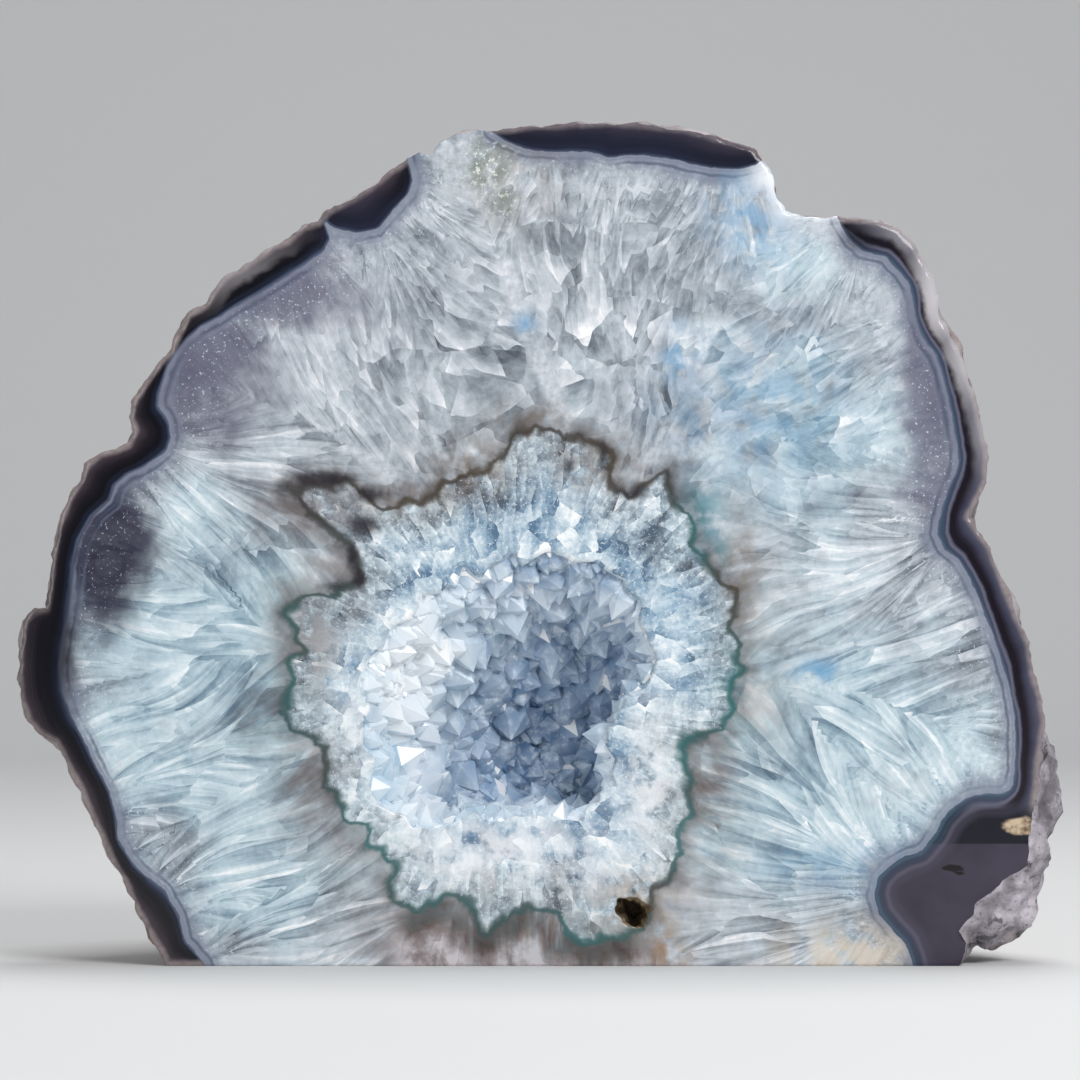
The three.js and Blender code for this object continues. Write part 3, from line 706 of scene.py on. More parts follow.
def describe_face(stone):
    """Stores on each corner its distance from the face's contours, the way the quartz grew, and the tints."""
    mesh = stone.data
    flat = read(mesh.vertices, "co", 3)[:, [0, 2]] / MM - TO_PART
    from_agate, _ = distance_to(flat, AGATE_EDGE)
    from_line, _ = distance_to(flat, GROWTH_LINE)
    cad, face_loop, hollow_loop = read_stone()[:3]
    from_rim, _ = distance_to(flat, (cad[face_loop][:, [0, 2]] - TO_PART).tolist()[::-1])
    from_hollow, _ = distance_to(flat, (cad[hollow_loop][:, [0, 2]] - TO_PART).tolist()[::-1])
    middle = HOLLOW_MIDDLE - TO_PART
    across, sideways = across_growth(flat, AGATE_EDGE)
    lay_map(mesh, "growth", flat, across, from_agate, sideways, "seam")
    gap = flat - middle
    away = np.linalg.norm(gap, axis=1)
    seam = math.atan2(PIT_PLACE[1] - middle[1], SEAM_X - middle[0])
    angle = (np.arctan2(gap[:, 1], gap[:, 0]) - seam) % (2 * math.pi)
    sideways = np.stack([-gap[:, 1], gap[:, 0]], axis=1) / np.maximum(away, 1)[:, None]
    lay_map(mesh, "inner growth", flat, angle * INNER_ROUND, away, sideways)
    for name, values in (
        ("from_agate", from_agate), ("from_line", from_line), ("from_rim", from_rim),
        ("from_hollow", from_hollow),
    ):
        store(mesh, name, values)
    for name, spots in TINTS.items():
        store(mesh, name, fade_of(flat, spots))
    store(mesh, "bladed", fade_of(flat, [(*BLADED, 1.0)]))
    lower_right = rise(flat[:, 0], 62, 4) * rise(flat[:, 1], 33, -3) * rise(from_agate, 2, -2)
    store(mesh, "nodule", lower_right)
    store(mesh, "place", np.insert(flat, 2, 0, axis=1))
    split_face(mesh, from_line, from_agate, fade_of(flat, TINTS["prism"]))


# Steps that the finishes are made of
def tint(red, green, blue):
    """A colour as a picture's 0 to 255 values, made linear."""
    linear = [((c / 255 + 0.055) / 1.055) ** 2.4 if c > 10 else c / 255 / 12.92 for c in (red, green, blue)]
    return (*linear, 1.0)


# The node tree that is being made
MAKING = {}


def fill(node, values):
    """Links a node's inputs to other nodes' outputs, or sets them."""
    for key, value in values.items():
        if isinstance(value, bpy.types.NodeSocket):
            feed(value, node.inputs[key])
        else:
            node.inputs[key].default_value = value


def feed(value, socket):
    MAKING["tree"].links.new(value, socket)


def put(kind, values=None, out=0, **settings):
    """Adds a node to the tree being made, sets it, fills its inputs, and returns one of its outputs."""
    node = MAKING["tree"].nodes.new(kind)
    for key, value in settings.items():
        setattr(node, key, value)
    fill(node, values or {})
    return node.outputs[out]


def calc(operation, a, b=0.0, c=0.0):
    return put("ShaderNodeMath", {0: a, 1: b, 2: c}, operation=operation)


def times(a, b):
    return calc("MULTIPLY", a, b)


def plus(a, b):
    return calc("ADD", a, b)


def minus(a, b):
    return calc("SUBTRACT", a, b)


def axis(place, number=0):
    """One of a place's x, y and z."""
    return put("ShaderNodeSeparateXYZ", {0: place}, number)


def voronoi(place):
    """The flat cells round scattered points, one to each unit."""
    return put("ShaderNodeTexVoronoi", {"Vector": place, "Scale": 1.0},
               feature="F1", voronoi_dimensions="2D").node


def move(operation, a, b=(0, 0, 0), out=0):
    return put("ShaderNodeVectorMath", {0: a, 1: b}, out, operation=operation)


def between(value, low, high, to_low=0.0, to_high=1.0):
    """Runs smoothly from to_low at low to to_high at high."""
    return put(
        "ShaderNodeMapRange", {0: value, 1: low, 2: high, 3: to_low, 4: to_high},
        interpolation_type="SMOOTHSTEP",
    )


def paint(cover, under, over, mode="MIX"):
    return put("ShaderNodeMix", {0: cover, 6: under, 7: over}, 2, data_type="RGBA", blend_type=mode)


def noise_at(place, scale, detail=3.0, rough=0.5, out=0, flat=False):
    return put(
        "ShaderNodeTexNoise", {"Vector": place, "Scale": scale, "Detail": detail, "Roughness": rough}, out,
        noise_dimensions="2D" if flat else "3D",
    )


def weigh(start, parts):
    """start, plus each (value, its middle, amount) added as (value - middle) * amount."""
    for value, middle, amount in parts:
        share = times(minus(value, middle), amount)
        start = plus(share, start)
    return start


def ramp(value, stops):
    """A colour ramp. Each stop is its place and its red, green and blue, from 0 to 255."""
    out = put("ShaderNodeValToRGB", {0: value})
    marks = out.node.color_ramp.elements
    while len(marks) < len(stops):
        marks.new(0.5)
    for mark, (place, *colour) in zip(marks, stops):
        mark.position = place
        mark.color = tint(*colour)
    return out


def stored(name, out="Fac"):
    return put("ShaderNodeAttribute", out=out, attribute_name=name)


def new_group(name, inputs, outputs):
    """A group of nodes, what it is given, and what it gives. An input that starts as None is a vector, and
    one that starts with four values is a colour, as is an output called Color. All others are numbers."""
    tree = MAKING["tree"] = bpy.data.node_groups.new(name, "ShaderNodeTree")
    for label, start in inputs.items():
        kind = "Vector" if start is None else "Color" if isinstance(start, tuple) else "Float"
        socket = tree.interface.new_socket(label, in_out="INPUT", socket_type="NodeSocket" + kind)
        if start is not None:
            socket.default_value = start
    for label in outputs:
        kind = "Color" if label == "Color" else "Float"
        tree.interface.new_socket(label, in_out="OUTPUT", socket_type="NodeSocket" + kind)
    return tree, tree.nodes.new("NodeGroupInput").outputs, tree.nodes.new("NodeGroupOutput").inputs


def use_group(group, values):
    return put("ShaderNodeGroup", values, node_tree=group).node.outputs


def new_material(name):
    material = bpy.data.materials.new(name)
    material.use_nodes = True
    tree = MAKING["tree"] = material.node_tree
    tree.nodes.clear()
    shader = tree.nodes.new("ShaderNodeBsdfPrincipled")
    output = tree.nodes.new("ShaderNodeOutputMaterial")
    tree.links.new(shader.outputs[0], output.inputs["Surface"])
    return material, shader


def paint_bands(colour, depth, bands, fade=None):
    """Paints soft bands over a colour. Each is its depth, its half width, its colour and its strength."""
    for centre, width, band, amount in bands:
        cover = between(calc("ABSOLUTE", minus(depth, centre)), width, 0.0, 0.0, amount)
        if fade is not None:
            cover = times(cover, fade)
        colour = paint(cover, colour, band)
    return colour


# Effects that several finishes share
def make_cells_group():
    """Quartz grown side by side: stretched cells, each with its own tone, slant of light, and rim."""
    tree, given, result = new_group(
        "quartz_cells", {"Place": None, "Width": 3.0, "Length": 3.0, "Drift": 0.3, "Start": 0.0},
        ("Tone", "Slant", "Rim"))
    long = times(given["Width"], given["Length"])
    size = put("ShaderNodeCombineXYZ", {0: given["Width"], 1: long, 2: 1.0})
    place = move("DIVIDE", given["Place"], size)
    place = move("ADD", place, put("ShaderNodeCombineXYZ", {0: given["Start"], 1: 0.37}))
    drift = minus(noise_at(place, 1.1, 2.0, 0.6, flat=True), 0.5)
    drift = times(drift, given["Drift"])
    drift = put("ShaderNodeCombineXYZ", {0: drift, 1: times(drift, -0.8)})
    place = move("MULTIPLY", move("ADD", place, drift), (1.0, 1.0, 0.0))
    cell = voronoi(place)
    local = move("SUBTRACT", place, cell.outputs["Position"])
    way = move("SUBTRACT", cell.outputs["Color"], (0.5, 0.38, 0.5))
    slant = move("DOT_PRODUCT", local, way, 1)
    tone = put("ShaderNodeSeparateColor", {0: cell.outputs["Color"]}, 2)
    feed(tone, result["Tone"])
    feed(slant, result["Slant"])
    feed(cell.outputs["Distance"], result["Rim"])
    return tree


def make_sparkle_group():
    """Scattered bright flecks, small and uneven."""
    tree, given, result = new_group("sparkle", {"Place": None, "Size": 0.8, "Share": 0.1}, ("Speck",))
    scale = calc("DIVIDE", 0.5, given["Size"])
    fleck = noise_at(given["Place"], scale, 2.0, 0.75, flat=True)
    start = minus(0.74, given["Share"])
    feed(between(fleck, start, plus(start, 0.09)), result["Speck"])
    return tree


def make_agate_group():
    """Fine bands of agate between the rind and the quartz, from how far a place lies from each."""
    tree, given, result = new_group(
        "agate_bands", {"Place": None, "From rind": 0.0, "To quartz": 0.0}, ("Color",))
    place = given["Place"]
    wave = times(minus(noise_at(place, 0.16, 3.0), 0.5), 1.2)
    slow = minus(noise_at(place, 0.045, 2.0), 0.5)
    rind = plus(given["From rind"], wave)
    quartz = plus(given["To quartz"], times(wave, 0.25))
    total = plus(calc("MAXIMUM", given["From rind"], 0.0),
                 calc("MAXIMUM", given["To quartz"], 0.0))
    share = calc("DIVIDE", calc("MAXIMUM", rind, 0.0), calc("MAXIMUM", total, 0.5))
    share = plus(share, times(slow, 0.5))
    body = ramp(share, [
        (0.0, 84, 74, 82), (0.22, 58, 49, 56), (0.45, 25, 20, 27), (0.68, 9, 9, 17),
        (0.88, 25, 31, 47), (1.0, 60, 72, 94),
    ])
    layered = ramp(share, [
        (0.0, 98, 94, 106), (0.3, 64, 66, 84), (0.46, 40, 36, 50), (0.56, 24, 17, 26),
        (0.7, 26, 22, 34), (0.8, 104, 104, 122), (0.88, 58, 66, 86),
        (1.0, 62, 80, 100),
    ])
    right = axis(place)
    body = paint(between(right, 58.0, 68.0), body, layered)
    fine = put("ShaderNodeTexNoise", {
        "W": times(quartz, 1.3), "Scale": 1.0, "Detail": 3.0, "Roughness": 0.7,
    }, noise_dimensions="1D")
    lines = between(fine, 0.5, 0.75)
    body = paint(times(lines, 0.2), body, tint(78, 78, 98))
    margin = between(rind, 1.6, 0.2)
    chalk = paint(noise_at(place, 0.7, 3.0), tint(112, 98, 98), tint(196, 184, 182))
    body = paint(times(margin, 0.7), body, chalk)
    last = between(quartz, 0.6, 0.1)
    body = paint(times(last, 0.5), body, tint(96, 106, 128))
    feed(body, result["Color"])
    return tree


def make_weather_group():
    """Weathered stone: blotches and fine grain, with painted shade darkening the dips of its bumps."""
    tree, given, result = new_group(
        "weathered_stone",
        {"Place": None, "Dark": (0, 0, 0, 1), "Light": (1, 1, 1, 1), "Stain": (1, 1, 1, 1)},
        ("Color", "Height", "Roughness"))
    place = given["Place"]
    blotch = noise_at(place, 55.0, 6.0, 0.7)
    grain = noise_at(place, 650.0, 4.0, 0.7)
    knobs = put("ShaderNodeTexVoronoi", {
        "Vector": move("ADD", place, move("MULTIPLY", noise_at(
            place, 180.0, 2.0, out=1), (0.004, 0.004, 0.004))), "Scale": 210.0}, feature="F1")
    pits = between(noise_at(move("ADD", place, (7.7, 1.3, 2.9)), 260.0, 3.0, 0.6), 0.6, 0.72)
    colour = paint(between(blotch, 0.3, 0.7, 0.25, 0.85), given["Dark"], given["Light"])
    stain = noise_at(move("ADD", place, (3.1, 1.7, 0.4)), 28.0, 6.0, 0.7)
    colour = paint(between(stain, 0.5, 0.72, 0.0, 0.8), colour, given["Stain"])
    colour = paint(between(grain, 0.55, 0.75, 0.0, 0.6), colour, given["Light"])
    colour = paint(between(grain, 0.45, 0.3, 0.0, 0.6), colour, given["Dark"])
    # Painted shade: the grooves between the knobs and the pits, which the bump lowers, are darkened
    colour = paint(between(knobs, 0.45, 0.75, 0.0, 0.45), colour, given["Dark"], "MULTIPLY")
    colour = paint(times(pits, 0.6), colour, given["Dark"], "MULTIPLY")
    height = weigh(0.5, [(knobs, 0.4, -0.6), (blotch, 0.5, 0.8), (grain, 0.5, 0.5), (pits, 0.0, -0.5)])
    feed(colour, result["Color"])
    feed(height, result["Height"])
    feed(between(grain, 0.2, 0.8, 0.62, 0.9), result["Roughness"])
    return tree


CELLS = make_cells_group()
SPARKLE = make_sparkle_group()
AGATE = make_agate_group()
WEATHER = make_weather_group()


# The finishes
def cells(place, width, length, start, drift=0.3):
    return use_group(CELLS, {
        "Place": place, "Width": width, "Length": length, "Start": start, "Drift": drift})


def lean_in_bundles(growth, width, length, amount, start):
    """The growth map, with each bundle of quartz leaning its own way."""
    place = move("ADD", move("DIVIDE", growth, (width, length, 1.0)), (start, 0.2, 0.0))
    drift = minus(noise_at(place, 1.6, 2.0, 0.5, flat=True), 0.5)
    drift = put("ShaderNodeCombineXYZ", {0: times(drift, 0.7)})
    drift = move("ADD", place, drift)
    cell = voronoi(drift)
    local = move("SUBTRACT", place, cell.outputs["Position"])
    high = axis(local, 1)
    pick = put("ShaderNodeSeparateColor", {0: cell.outputs["Color"]}).node
    lean = times(minus(pick.outputs[0], 0.5), amount * length)
    shift = calc("MULTIPLY_ADD", high, lean, times(pick.outputs[1], 40.0))
    leaned = move("ADD", growth, put("ShaderNodeCombineXYZ", {0: shift}))
    return leaned, pick.outputs[2]


def outer_quartz(growth, place, along):
    """Colour of the quartz between the agate and the growth line."""
    bend = noise_at(place, 0.03, 0.0, 0.5, out=1, flat=True)
    bend = move("MULTIPLY", move("SUBTRACT", bend, (0.5, 0.5, 0.5)), (9.0, 4.0, 0.0))
    bent = move("ADD", growth, bend)
    far = between(along, 5.0, 24.0)
    sheaf, sheaf_tone = lean_in_bundles(bent, 15.0, 15.0, 0.6, 4.1)
    fan, fan_tone = lean_in_bundles(bent, 11.0, 38.0, 0.5, 1.3)
    grain = noise_at(place, 0.8, 3.0, 0.6, flat=True)
    cloud = noise_at(place, 0.06, 4.0, 0.55, flat=True)
    coarse = cells(sheaf, 5.4, 2.2, 3.3, 0.35)
    middle = cells(sheaf, 2.9, 3.0, 9.1, 0.3)
    small = cells(sheaf, 1.5, 3.0, 5.7, 0.3)
    streak = noise_at(move("DIVIDE", sheaf, (1.3, 5.0, 1.0)), 1.0, 3.0, 0.6, flat=True)
    blade = weigh(0.54, [
        (coarse["Tone"], 0.5, times(far, 0.22)), (coarse["Slant"], 0.0, times(far, 0.88)),
        (coarse["Rim"], 0.4, times(far, 0.3)), (middle["Tone"], 0.5, 0.12),
        (middle["Slant"], 0.0, 0.5), (middle["Rim"], 0.4, 0.15), (small["Tone"], 0.5, 0.06),
        (small["Slant"], 0.0, calc("MULTIPLY_ADD", far, -0.35, 0.65)), (streak, 0.5, 0.45),
        (grain, 0.5, 0.25), (sheaf_tone, 0.5, 0.08),
    ])
    cord = cells(fan, 3.8, 7.0, 1.7, 0.25)
    thread = cells(fan, 1.6, 10.0, 5.2, 0.25)
    hair = noise_at(move("DIVIDE", fan, (1.5, 18.0, 1.0)), 1.0, 3.0, 0.55, flat=True)
    fibre = weigh(0.58, [
        (cord["Tone"], 0.5, 0.17), (cord["Slant"], 0.0, 0.7), (thread["Tone"], 0.5, 0.1),
        (thread["Slant"], 0.0, 0.42), (hair, 0.5, 0.75), (fan_tone, 0.5, 0.12), (grain, 0.5, 0.25),
        (middle["Slant"], 0.0, 0.3),
    ])
    value = put("ShaderNodeMix", {0: stored("bladed"), 2: fibre, 3: blade}, 0, data_type="FLOAT")
    even = weigh(0.62, [(grain, 0.5, 0.6)])
    veil = calc("MAXIMUM", stored("seam"), stored("veiled"))
    value = put("ShaderNodeMix", {0: veil, 2: value, 3: even}, 0, data_type="FLOAT")
    value = weigh(value, [(cloud, 0.5, 0.8)])
    neutral = ramp(value, [
        (0.0, 88, 95, 104), (0.28, 142, 150, 158), (0.5, 180, 188, 196),
        (0.72, 210, 215, 222), (1.0, 252, 252, 254),
    ])
    cool = ramp(value, [
        (0.0, 92, 118, 136), (0.28, 142, 166, 180), (0.5, 178, 200, 210),
        (0.72, 208, 223, 230), (1.0, 250, 253, 255),
    ])
    hue = between(weigh(stored("cool"), [(cloud, 0.5, 1.4)]), 0.15, 0.85)
    return paint(hue, neutral, cool)


def inner_quartz(place, from_line, from_hollow):
    """Colour of the quartz inside the growth line."""
    growth = put("ShaderNodeUVMap", uv_map="inner growth")
    needle = cells(growth, 1.7, 3.6, 2.4, 0.3)
    lumps = cells(place, 4.4, 1.0, 7.7, 0.5)
    sugar = cells(place, 1.25, 1.0, 0.6, 0.3)
    grain = noise_at(place, 1.1, 3.0, 0.65, flat=True)
    cloud = noise_at(place, 0.08, 3.0, 0.55, flat=True)
    deep = between(weigh(from_line, [(cloud, 0.5, 14.0)]), 1.5, 12.0)
    crystal = between(from_hollow, -11.0, -2.0)
    fine = calc("MULTIPLY_ADD", crystal, -0.65, 1.0)
    value = weigh(0.49, [
        (needle["Slant"], 0.0, times(fine, 0.8)), (needle["Tone"], 0.5, times(fine, 0.22)),
        (needle["Rim"], 0.4, 0.12), (sugar["Tone"], 0.5, calc("MULTIPLY_ADD", deep, -0.18, 0.28)),
        (sugar["Slant"], 0.0, 0.22), (grain, 0.5, 0.55), (cloud, 0.5, 0.9), (crystal, 0.0, 0.06),
        (lumps["Slant"], 0.0, calc("MULTIPLY_ADD", deep, 0.7, times(crystal, 0.7))),
        (lumps["Tone"], 0.5, calc("MULTIPLY_ADD", deep, 0.25, times(crystal, 0.25))),
    ])
    near = ramp(value, [
        (0.0, 84, 92, 102), (0.3, 138, 150, 160), (0.55, 182, 196, 205),
        (0.8, 222, 231, 236), (1.0, 254, 254, 255),
    ])
    far = ramp(value, [
        (0.0, 92, 122, 150), (0.3, 146, 172, 193), (0.55, 188, 206, 218),
        (0.8, 222, 234, 241), (1.0, 254, 255, 255),
    ])
    return paint(deep, near, far)


def outer_fill(growth, place, along, agate_place, patchy, ripple):
    """The quartz outside the growth line, with its haze, dark spots and flecks near the agate."""
    outer = outer_quartz(growth, place, along)
    haze_depth = calc("MULTIPLY_ADD", patchy, 9.0, agate_place)
    haze = between(haze_depth, 5.0, 0.3, 0.0, 0.75)
    outer = paint(haze, outer, tint(110, 118, 138))
    plum = between(weigh(stored("plum"), [(patchy, 0.0, 0.7), (ripple, 0.0, 0.3)]), 0.05, 0.85)
    outer = paint(times(plum, 0.94), outer, tint(44, 40, 60))
    mist = weigh(stored("mist"), [(patchy, 0.0, 1.0), (ripple, 0.0, 0.4)])
    outer = paint(between(mist, 0.05, 0.9, 0.0, 0.85), outer, tint(98, 97, 117))
    eye = calc("ABSOLUTE", minus(stored("eye"), 0.5))
    outer = paint(between(eye, 0.16, 0.04, 0.0, 0.4), outer, tint(40, 36, 52))
    speck = use_group(SPARKLE, {"Place": place, "Size": 0.36, "Share": 0.1})["Speck"]
    near_band = times(between(haze_depth, 15.0, 5.0), between(haze_depth, 0.0, 3.0))
    speck = times(speck, calc("MULTIPLY_ADD", plum, -0.5, 1.0))
    outer = paint(times(speck, near_band), outer, tint(206, 213, 226))
    line_fade = between(noise_at(place, 0.08, 2.0, flat=True), 0.3, 0.6, 0.25, 1.0)
    return paint_bands(outer, agate_place, [
        (0.45, 0.6, tint(126, 132, 150), 0.8), (1.4, 0.6, tint(70, 82, 104), 0.7),
        (2.3, 0.5, tint(128, 140, 158), 0.3),
    ], line_fade)


def inner_fill(place, from_line, from_hollow):
    """The quartz inside the growth line, with its fine flecks."""
    inner = inner_quartz(place, from_line, from_hollow)
    grit = use_group(SPARKLE, {"Place": place, "Size": 0.4, "Share": 0.14})["Speck"]
    return paint(times(grit, 0.5), inner, tint(244, 248, 252))


def make_face_finish(parts):
    """The polished face: agate bands, two fills of quartz, the growth line, and stains. parts names what can
    show: agate, outer, inner, prisms."""
    material, shader = new_material("polished_" + "_".join(parts))
    growth = put("ShaderNodeUVMap", uv_map="growth")
    along = axis(growth, 1)
    around = axis(put("ShaderNodeUVMap", uv_map="inner growth"))
    place = stored("place", "Vector")
    from_agate = stored("from_agate")
    from_line = stored("from_line")
    from_rim = stored("from_rim")
    from_hollow = stored("from_hollow")
    ripple = minus(noise_at(place, 0.35, 3.0, flat=True), 0.5)
    patchy = minus(noise_at(place, 0.1, 4.0, flat=True), 0.5)
    tooth = put("ShaderNodeTexVoronoi", {"W": calc("DIVIDE", around, 3.9), "Scale": 1.0},
                feature="F1", voronoi_dimensions="1D")
    tooth = times(minus(tooth, 0.25), calc("MULTIPLY_ADD", patchy, 5.0, 1.8))
    line_place = plus(weigh(from_line, [(ripple, 0.0, 1.8)]), tooth)
    agate_place = plus(from_agate, times(ripple, 0.7))

    fills = []
    if "outer" in parts:
        fills.append(outer_fill(growth, place, along, agate_place, patchy, ripple))
    if "inner" in parts:
        fills.append(inner_fill(place, from_line, from_hollow))
    quartz = fills[0]
    if len(fills) == 2:
        quartz = paint(between(line_place, -0.15, 0.15), *fills)
    streak = noise_at(move("DIVIDE", growth, (2.0, 8.0, 1.0)), 1.0, 3.0, flat=True)
    smoke = times(stored("smoke"), between(streak, 0.15, 0.65))
    outside_line = between(line_place, 1.0, -0.5, 0.2, 1.0)
    quartz = paint(times(times(smoke, outside_line), 0.92), quartz,
                   tint(108, 93, 89))
    if "prisms" in parts:
        facet = cells(place, 7.5, 1.7, 5.3, 0.5)
        prism = weigh(0.5, [
            (between(line_place, -8.0, -1.0), 0.5, -0.75), (facet["Slant"], 0.0, 0.35),
            (facet["Rim"], 0.4, 0.3),
            (noise_at(place, 0.35, 4.0, 0.6, flat=True), 0.5, 0.8), (streak, 0.5, 0.6),
        ])
        prism = ramp(prism, [
            (0.0, 58, 46, 45), (0.35, 98, 85, 82), (0.65, 142, 131, 132),
            (1.0, 204, 198, 202),
        ])
        prism_cover = times(stored("prism"), between(line_place, 0.2, -0.4))
        quartz = paint(between(prism_cover, 0.2, 0.7), quartz, prism)
    blot = between(noise_at(place, 0.22, 4.0, flat=True), 0.3, 0.6)
    for name, colour, amount in (
        ("dye", tint(96, 158, 202), 0.75), ("teal", tint(96, 168, 176), 0.2),
        ("umber", tint(116, 92, 66), 0.68), ("lagoon", tint(74, 132, 142), 0.8),
        ("amber", tint(142, 100, 58), 0.85), ("cream", tint(222, 206, 184), 0.75),
        ("grit", tint(126, 122, 126), 0.75), ("white", tint(252, 253, 255), 0.95),
        ("clear", tint(122, 130, 116), 0.85),
    ):
        patch = times(stored(name), blot)
        quartz = paint(times(patch, amount), quartz, colour)
    quartz = paint(times(stored("snow"), 0.9), quartz, tint(246, 250, 255))
    shine = use_group(SPARKLE, {"Place": place, "Size": 0.6, "Share": 0.17})["Speck"]
    quartz = paint(times(shine, stored("clear")), quartz, tint(226, 232, 226))

    gap = calc("ABSOLUTE", line_place)
    dark_side = between(line_place, -5.5, -0.2)
    dark_side = times(dark_side, between(line_place, 0.5, -0.3))
    fickle = between(noise_at(place, 0.16, 3.0, flat=True), 0.3, 0.65)
    quartz = paint(times(dark_side, calc("MULTIPLY_ADD", fickle, 0.42, 0.38)), quartz,
                   tint(88, 82, 82))
    line_colour = paint(stored("teal"), tint(58, 56, 54), tint(40, 108, 110))
    line_colour = paint(stored("umber"), line_colour, tint(72, 60, 44))
    line_width = calc("MULTIPLY_ADD", fickle, 1.2, 0.75)
    quartz = paint(between(gap, line_width, 0.15, 0.0, 0.85), quartz, line_colour)
    night = between(weigh(stored("night"), [(ripple, 0.0, 0.4)]), 0.15, 0.85)
    quartz = paint(times(night, 0.88), quartz, tint(44, 40, 46))

    fill(shader, {"IOR": 1.54, "Specular IOR Level": 0.3})
    if "agate" not in parts:
        fill(shader, {"Base Color": quartz, "Roughness": 0.12})
        return material

    bands = use_group(AGATE, {
        "Place": place, "From rind": from_rim, "To quartz": times(from_agate, -1.0)})["Color"]
    bands = paint(times(stored("navy"), 0.55), bands, tint(40, 43, 64))
    bands = paint(times(stored("night"), 0.7), bands, tint(12, 11, 20))
    chalk_edge = weigh(from_rim, [(ripple, 0.0, 1.5)])
    chalk = times(stored("chalk"), between(chalk_edge, 3.8, 2.2))
    bands = paint(times(chalk, 0.85), bands, tint(194, 190, 194))
    bands = paint_nodule(bands, place, from_agate)
    colour = paint(between(agate_place, -0.15, 0.15), bands, quartz)
    crust = noise_at(place, 0.28, 4.0, 0.6, flat=True)
    broken = between(weigh(stored("broken"), [(patchy, 0.0, 0.8)]), 0.35, 0.55)
    vein = paint(between(crust, 0.35, 0.6), tint(104, 84, 66), tint(206, 184, 156))
    colour = paint(broken, colour, vein)
    fill(shader, {"Base Color": colour, "Roughness": between(broken, 0.0, 1.0, 0.12, 0.6)})
    return material


def paint_nodule(bands, place, from_agate):
    """The solid agate at the lower right: plum below a level water line, almost black above it."""
    inside = stored("nodule")
    axes = put("ShaderNodeSeparateXYZ", {0: place}).node
    depth = times(from_agate, -1.0)
    cloud = noise_at(place, 0.09, 4.0, flat=True)
    plum = paint(cloud, tint(42, 36, 50), tint(72, 66, 82))
    level = between(axes.outputs[1], *WATER_LEVEL)
    body = paint(level, tint(13, 16, 29), plum)
    body = paint_bands(body, depth, [
        (0.4, 0.9, tint(66, 92, 112), 0.8), (1.5, 0.8, tint(50, 68, 90), 0.7),
        (2.6, 0.9, tint(104, 102, 120), 0.55), (3.6, 1.6, tint(78, 74, 92), 0.4),
    ])
    pore = between(stored("pore"), 0.4, 0.6)
    body = paint(pore, body, tint(18, 14, 16))
    return paint(inside, bands, body)


def make_weathered(name, dark, light, stain, bump=0.0012, fresh=False):
    """Weathered stone. A fresh one is chalky where it meets the face. At the broken corner it is paler
    lavender, with near-white patches that are partly painted highlight.
    """
    material, shader = new_material(name)
    place = put("ShaderNodeTexCoord", out="Object")
    stone = use_group(WEATHER, {"Place": place, "Dark": dark, "Light": light, "Stain": stain})
    colour = stone["Color"]
    if fresh:
        axes = put("ShaderNodeSeparateXYZ", {0: place}).node.outputs
        margin = between(axes[1], (FACE_Y + 7) * MM, (FACE_Y + 1) * MM, 0.0, 0.75)
        margin = times(margin, between(noise_at(place, 120.0), 0.3, 0.6))
        colour = paint(margin, colour, tint(184, 176, 180))
        # The broken corner: paler lavender stone. Its near-white patches are partly painted highlight and its
        # near-black pits are painted shade
        broken = use_group(WEATHER, {
            "Place": place, "Dark": tint(34, 26, 36), "Light": tint(236, 228, 238),
            "Stain": tint(176, 158, 150)})
        corner = times(between(axes[0], 0.08, 0.088), between(axes[2], 0.056, 0.046))
        corner = times(corner, between(axes[1], (FACE_Y + 26) * MM, (FACE_Y + 14) * MM))
        colour = paint(corner, colour, broken["Color"])
    relief = put("ShaderNodeBump", {"Height": stone["Height"], "Distance": bump, "Strength": 1.0})
    fill(shader, {"Base Color": colour, "Roughness": stone["Roughness"], "Normal": relief})
    return material


def make_crystal_finish(name, clear):
    """The hollow's quartz: clear to milky, pale at the mouth and steel blue further in. The blue is partly
    its own tint and partly painted shade that grows with depth, towards the right and under the roof, while
    the left wall is painted pale as if lit.
    """
    material, shader = new_material(name)
    place = put("ShaderNodeTexCoord", out="Object")
    shade = stored("shade")
    axes = put("ShaderNodeSeparateXYZ", {0: place}).node
    # Painted shade: deeper in the hollow, towards its right and under its roof the colour turns darker steel
    # blue, and the left wall stays pale as painted light
    depth = between(axes.outputs[1], FACE_Y * MM + 0.002, FACE_Y * MM + 0.026)
    side = between(calc("MULTIPLY_ADD", axes.outputs[2], -0.2, axes.outputs[0]), -0.038, -0.014)
    deep = times(calc("MULTIPLY_ADD", depth, 0.62, 0.38),
                calc("MULTIPLY_ADD", side, 0.75, 0.25))
    painted_roof_shade = times(between(axes.outputs[2], 0.066, 0.08), between(axes.outputs[0], -0.034, -0.012))
    deep = weigh(deep, [(shade, 0.5, 0.3), (painted_roof_shade, 0.0, 0.3)])
    veil = noise_at(place, 330.0, 3.0, 0.65)
    lump = noise_at(place, 60.0, 3.0, 0.5)
    pale = paint(between(lump, 0.35, 0.65), tint(202, 224, 238), tint(248, 252, 254))
    blue = paint(between(lump, 0.35, 0.65), tint(84, 118, 156), tint(138, 170, 202))
    colour = paint(deep, pale, blue)
    colour = paint(between(veil, 0.45, 0.7, 0.0, 0.65), colour, tint(226, 236, 245))
    tip = times(stored("tip"), 0.3)
    colour = paint(tip, colour, tint(240, 246, 251))
    # Painted highlight: a few facets are painted pure white as glints
    colour = paint(stored("glint"), colour, tint(255, 255, 255))
    relief = put("ShaderNodeBump", {"Height": veil, "Distance": 0.0002, "Strength": 0.4})
    fill(shader, {
        "Base Color": colour, "Roughness": between(veil, 0.3, 0.7, 0.1, 0.28), "IOR": 1.55,
        "Transmission Weight": clear, "Normal": relief})
    return material


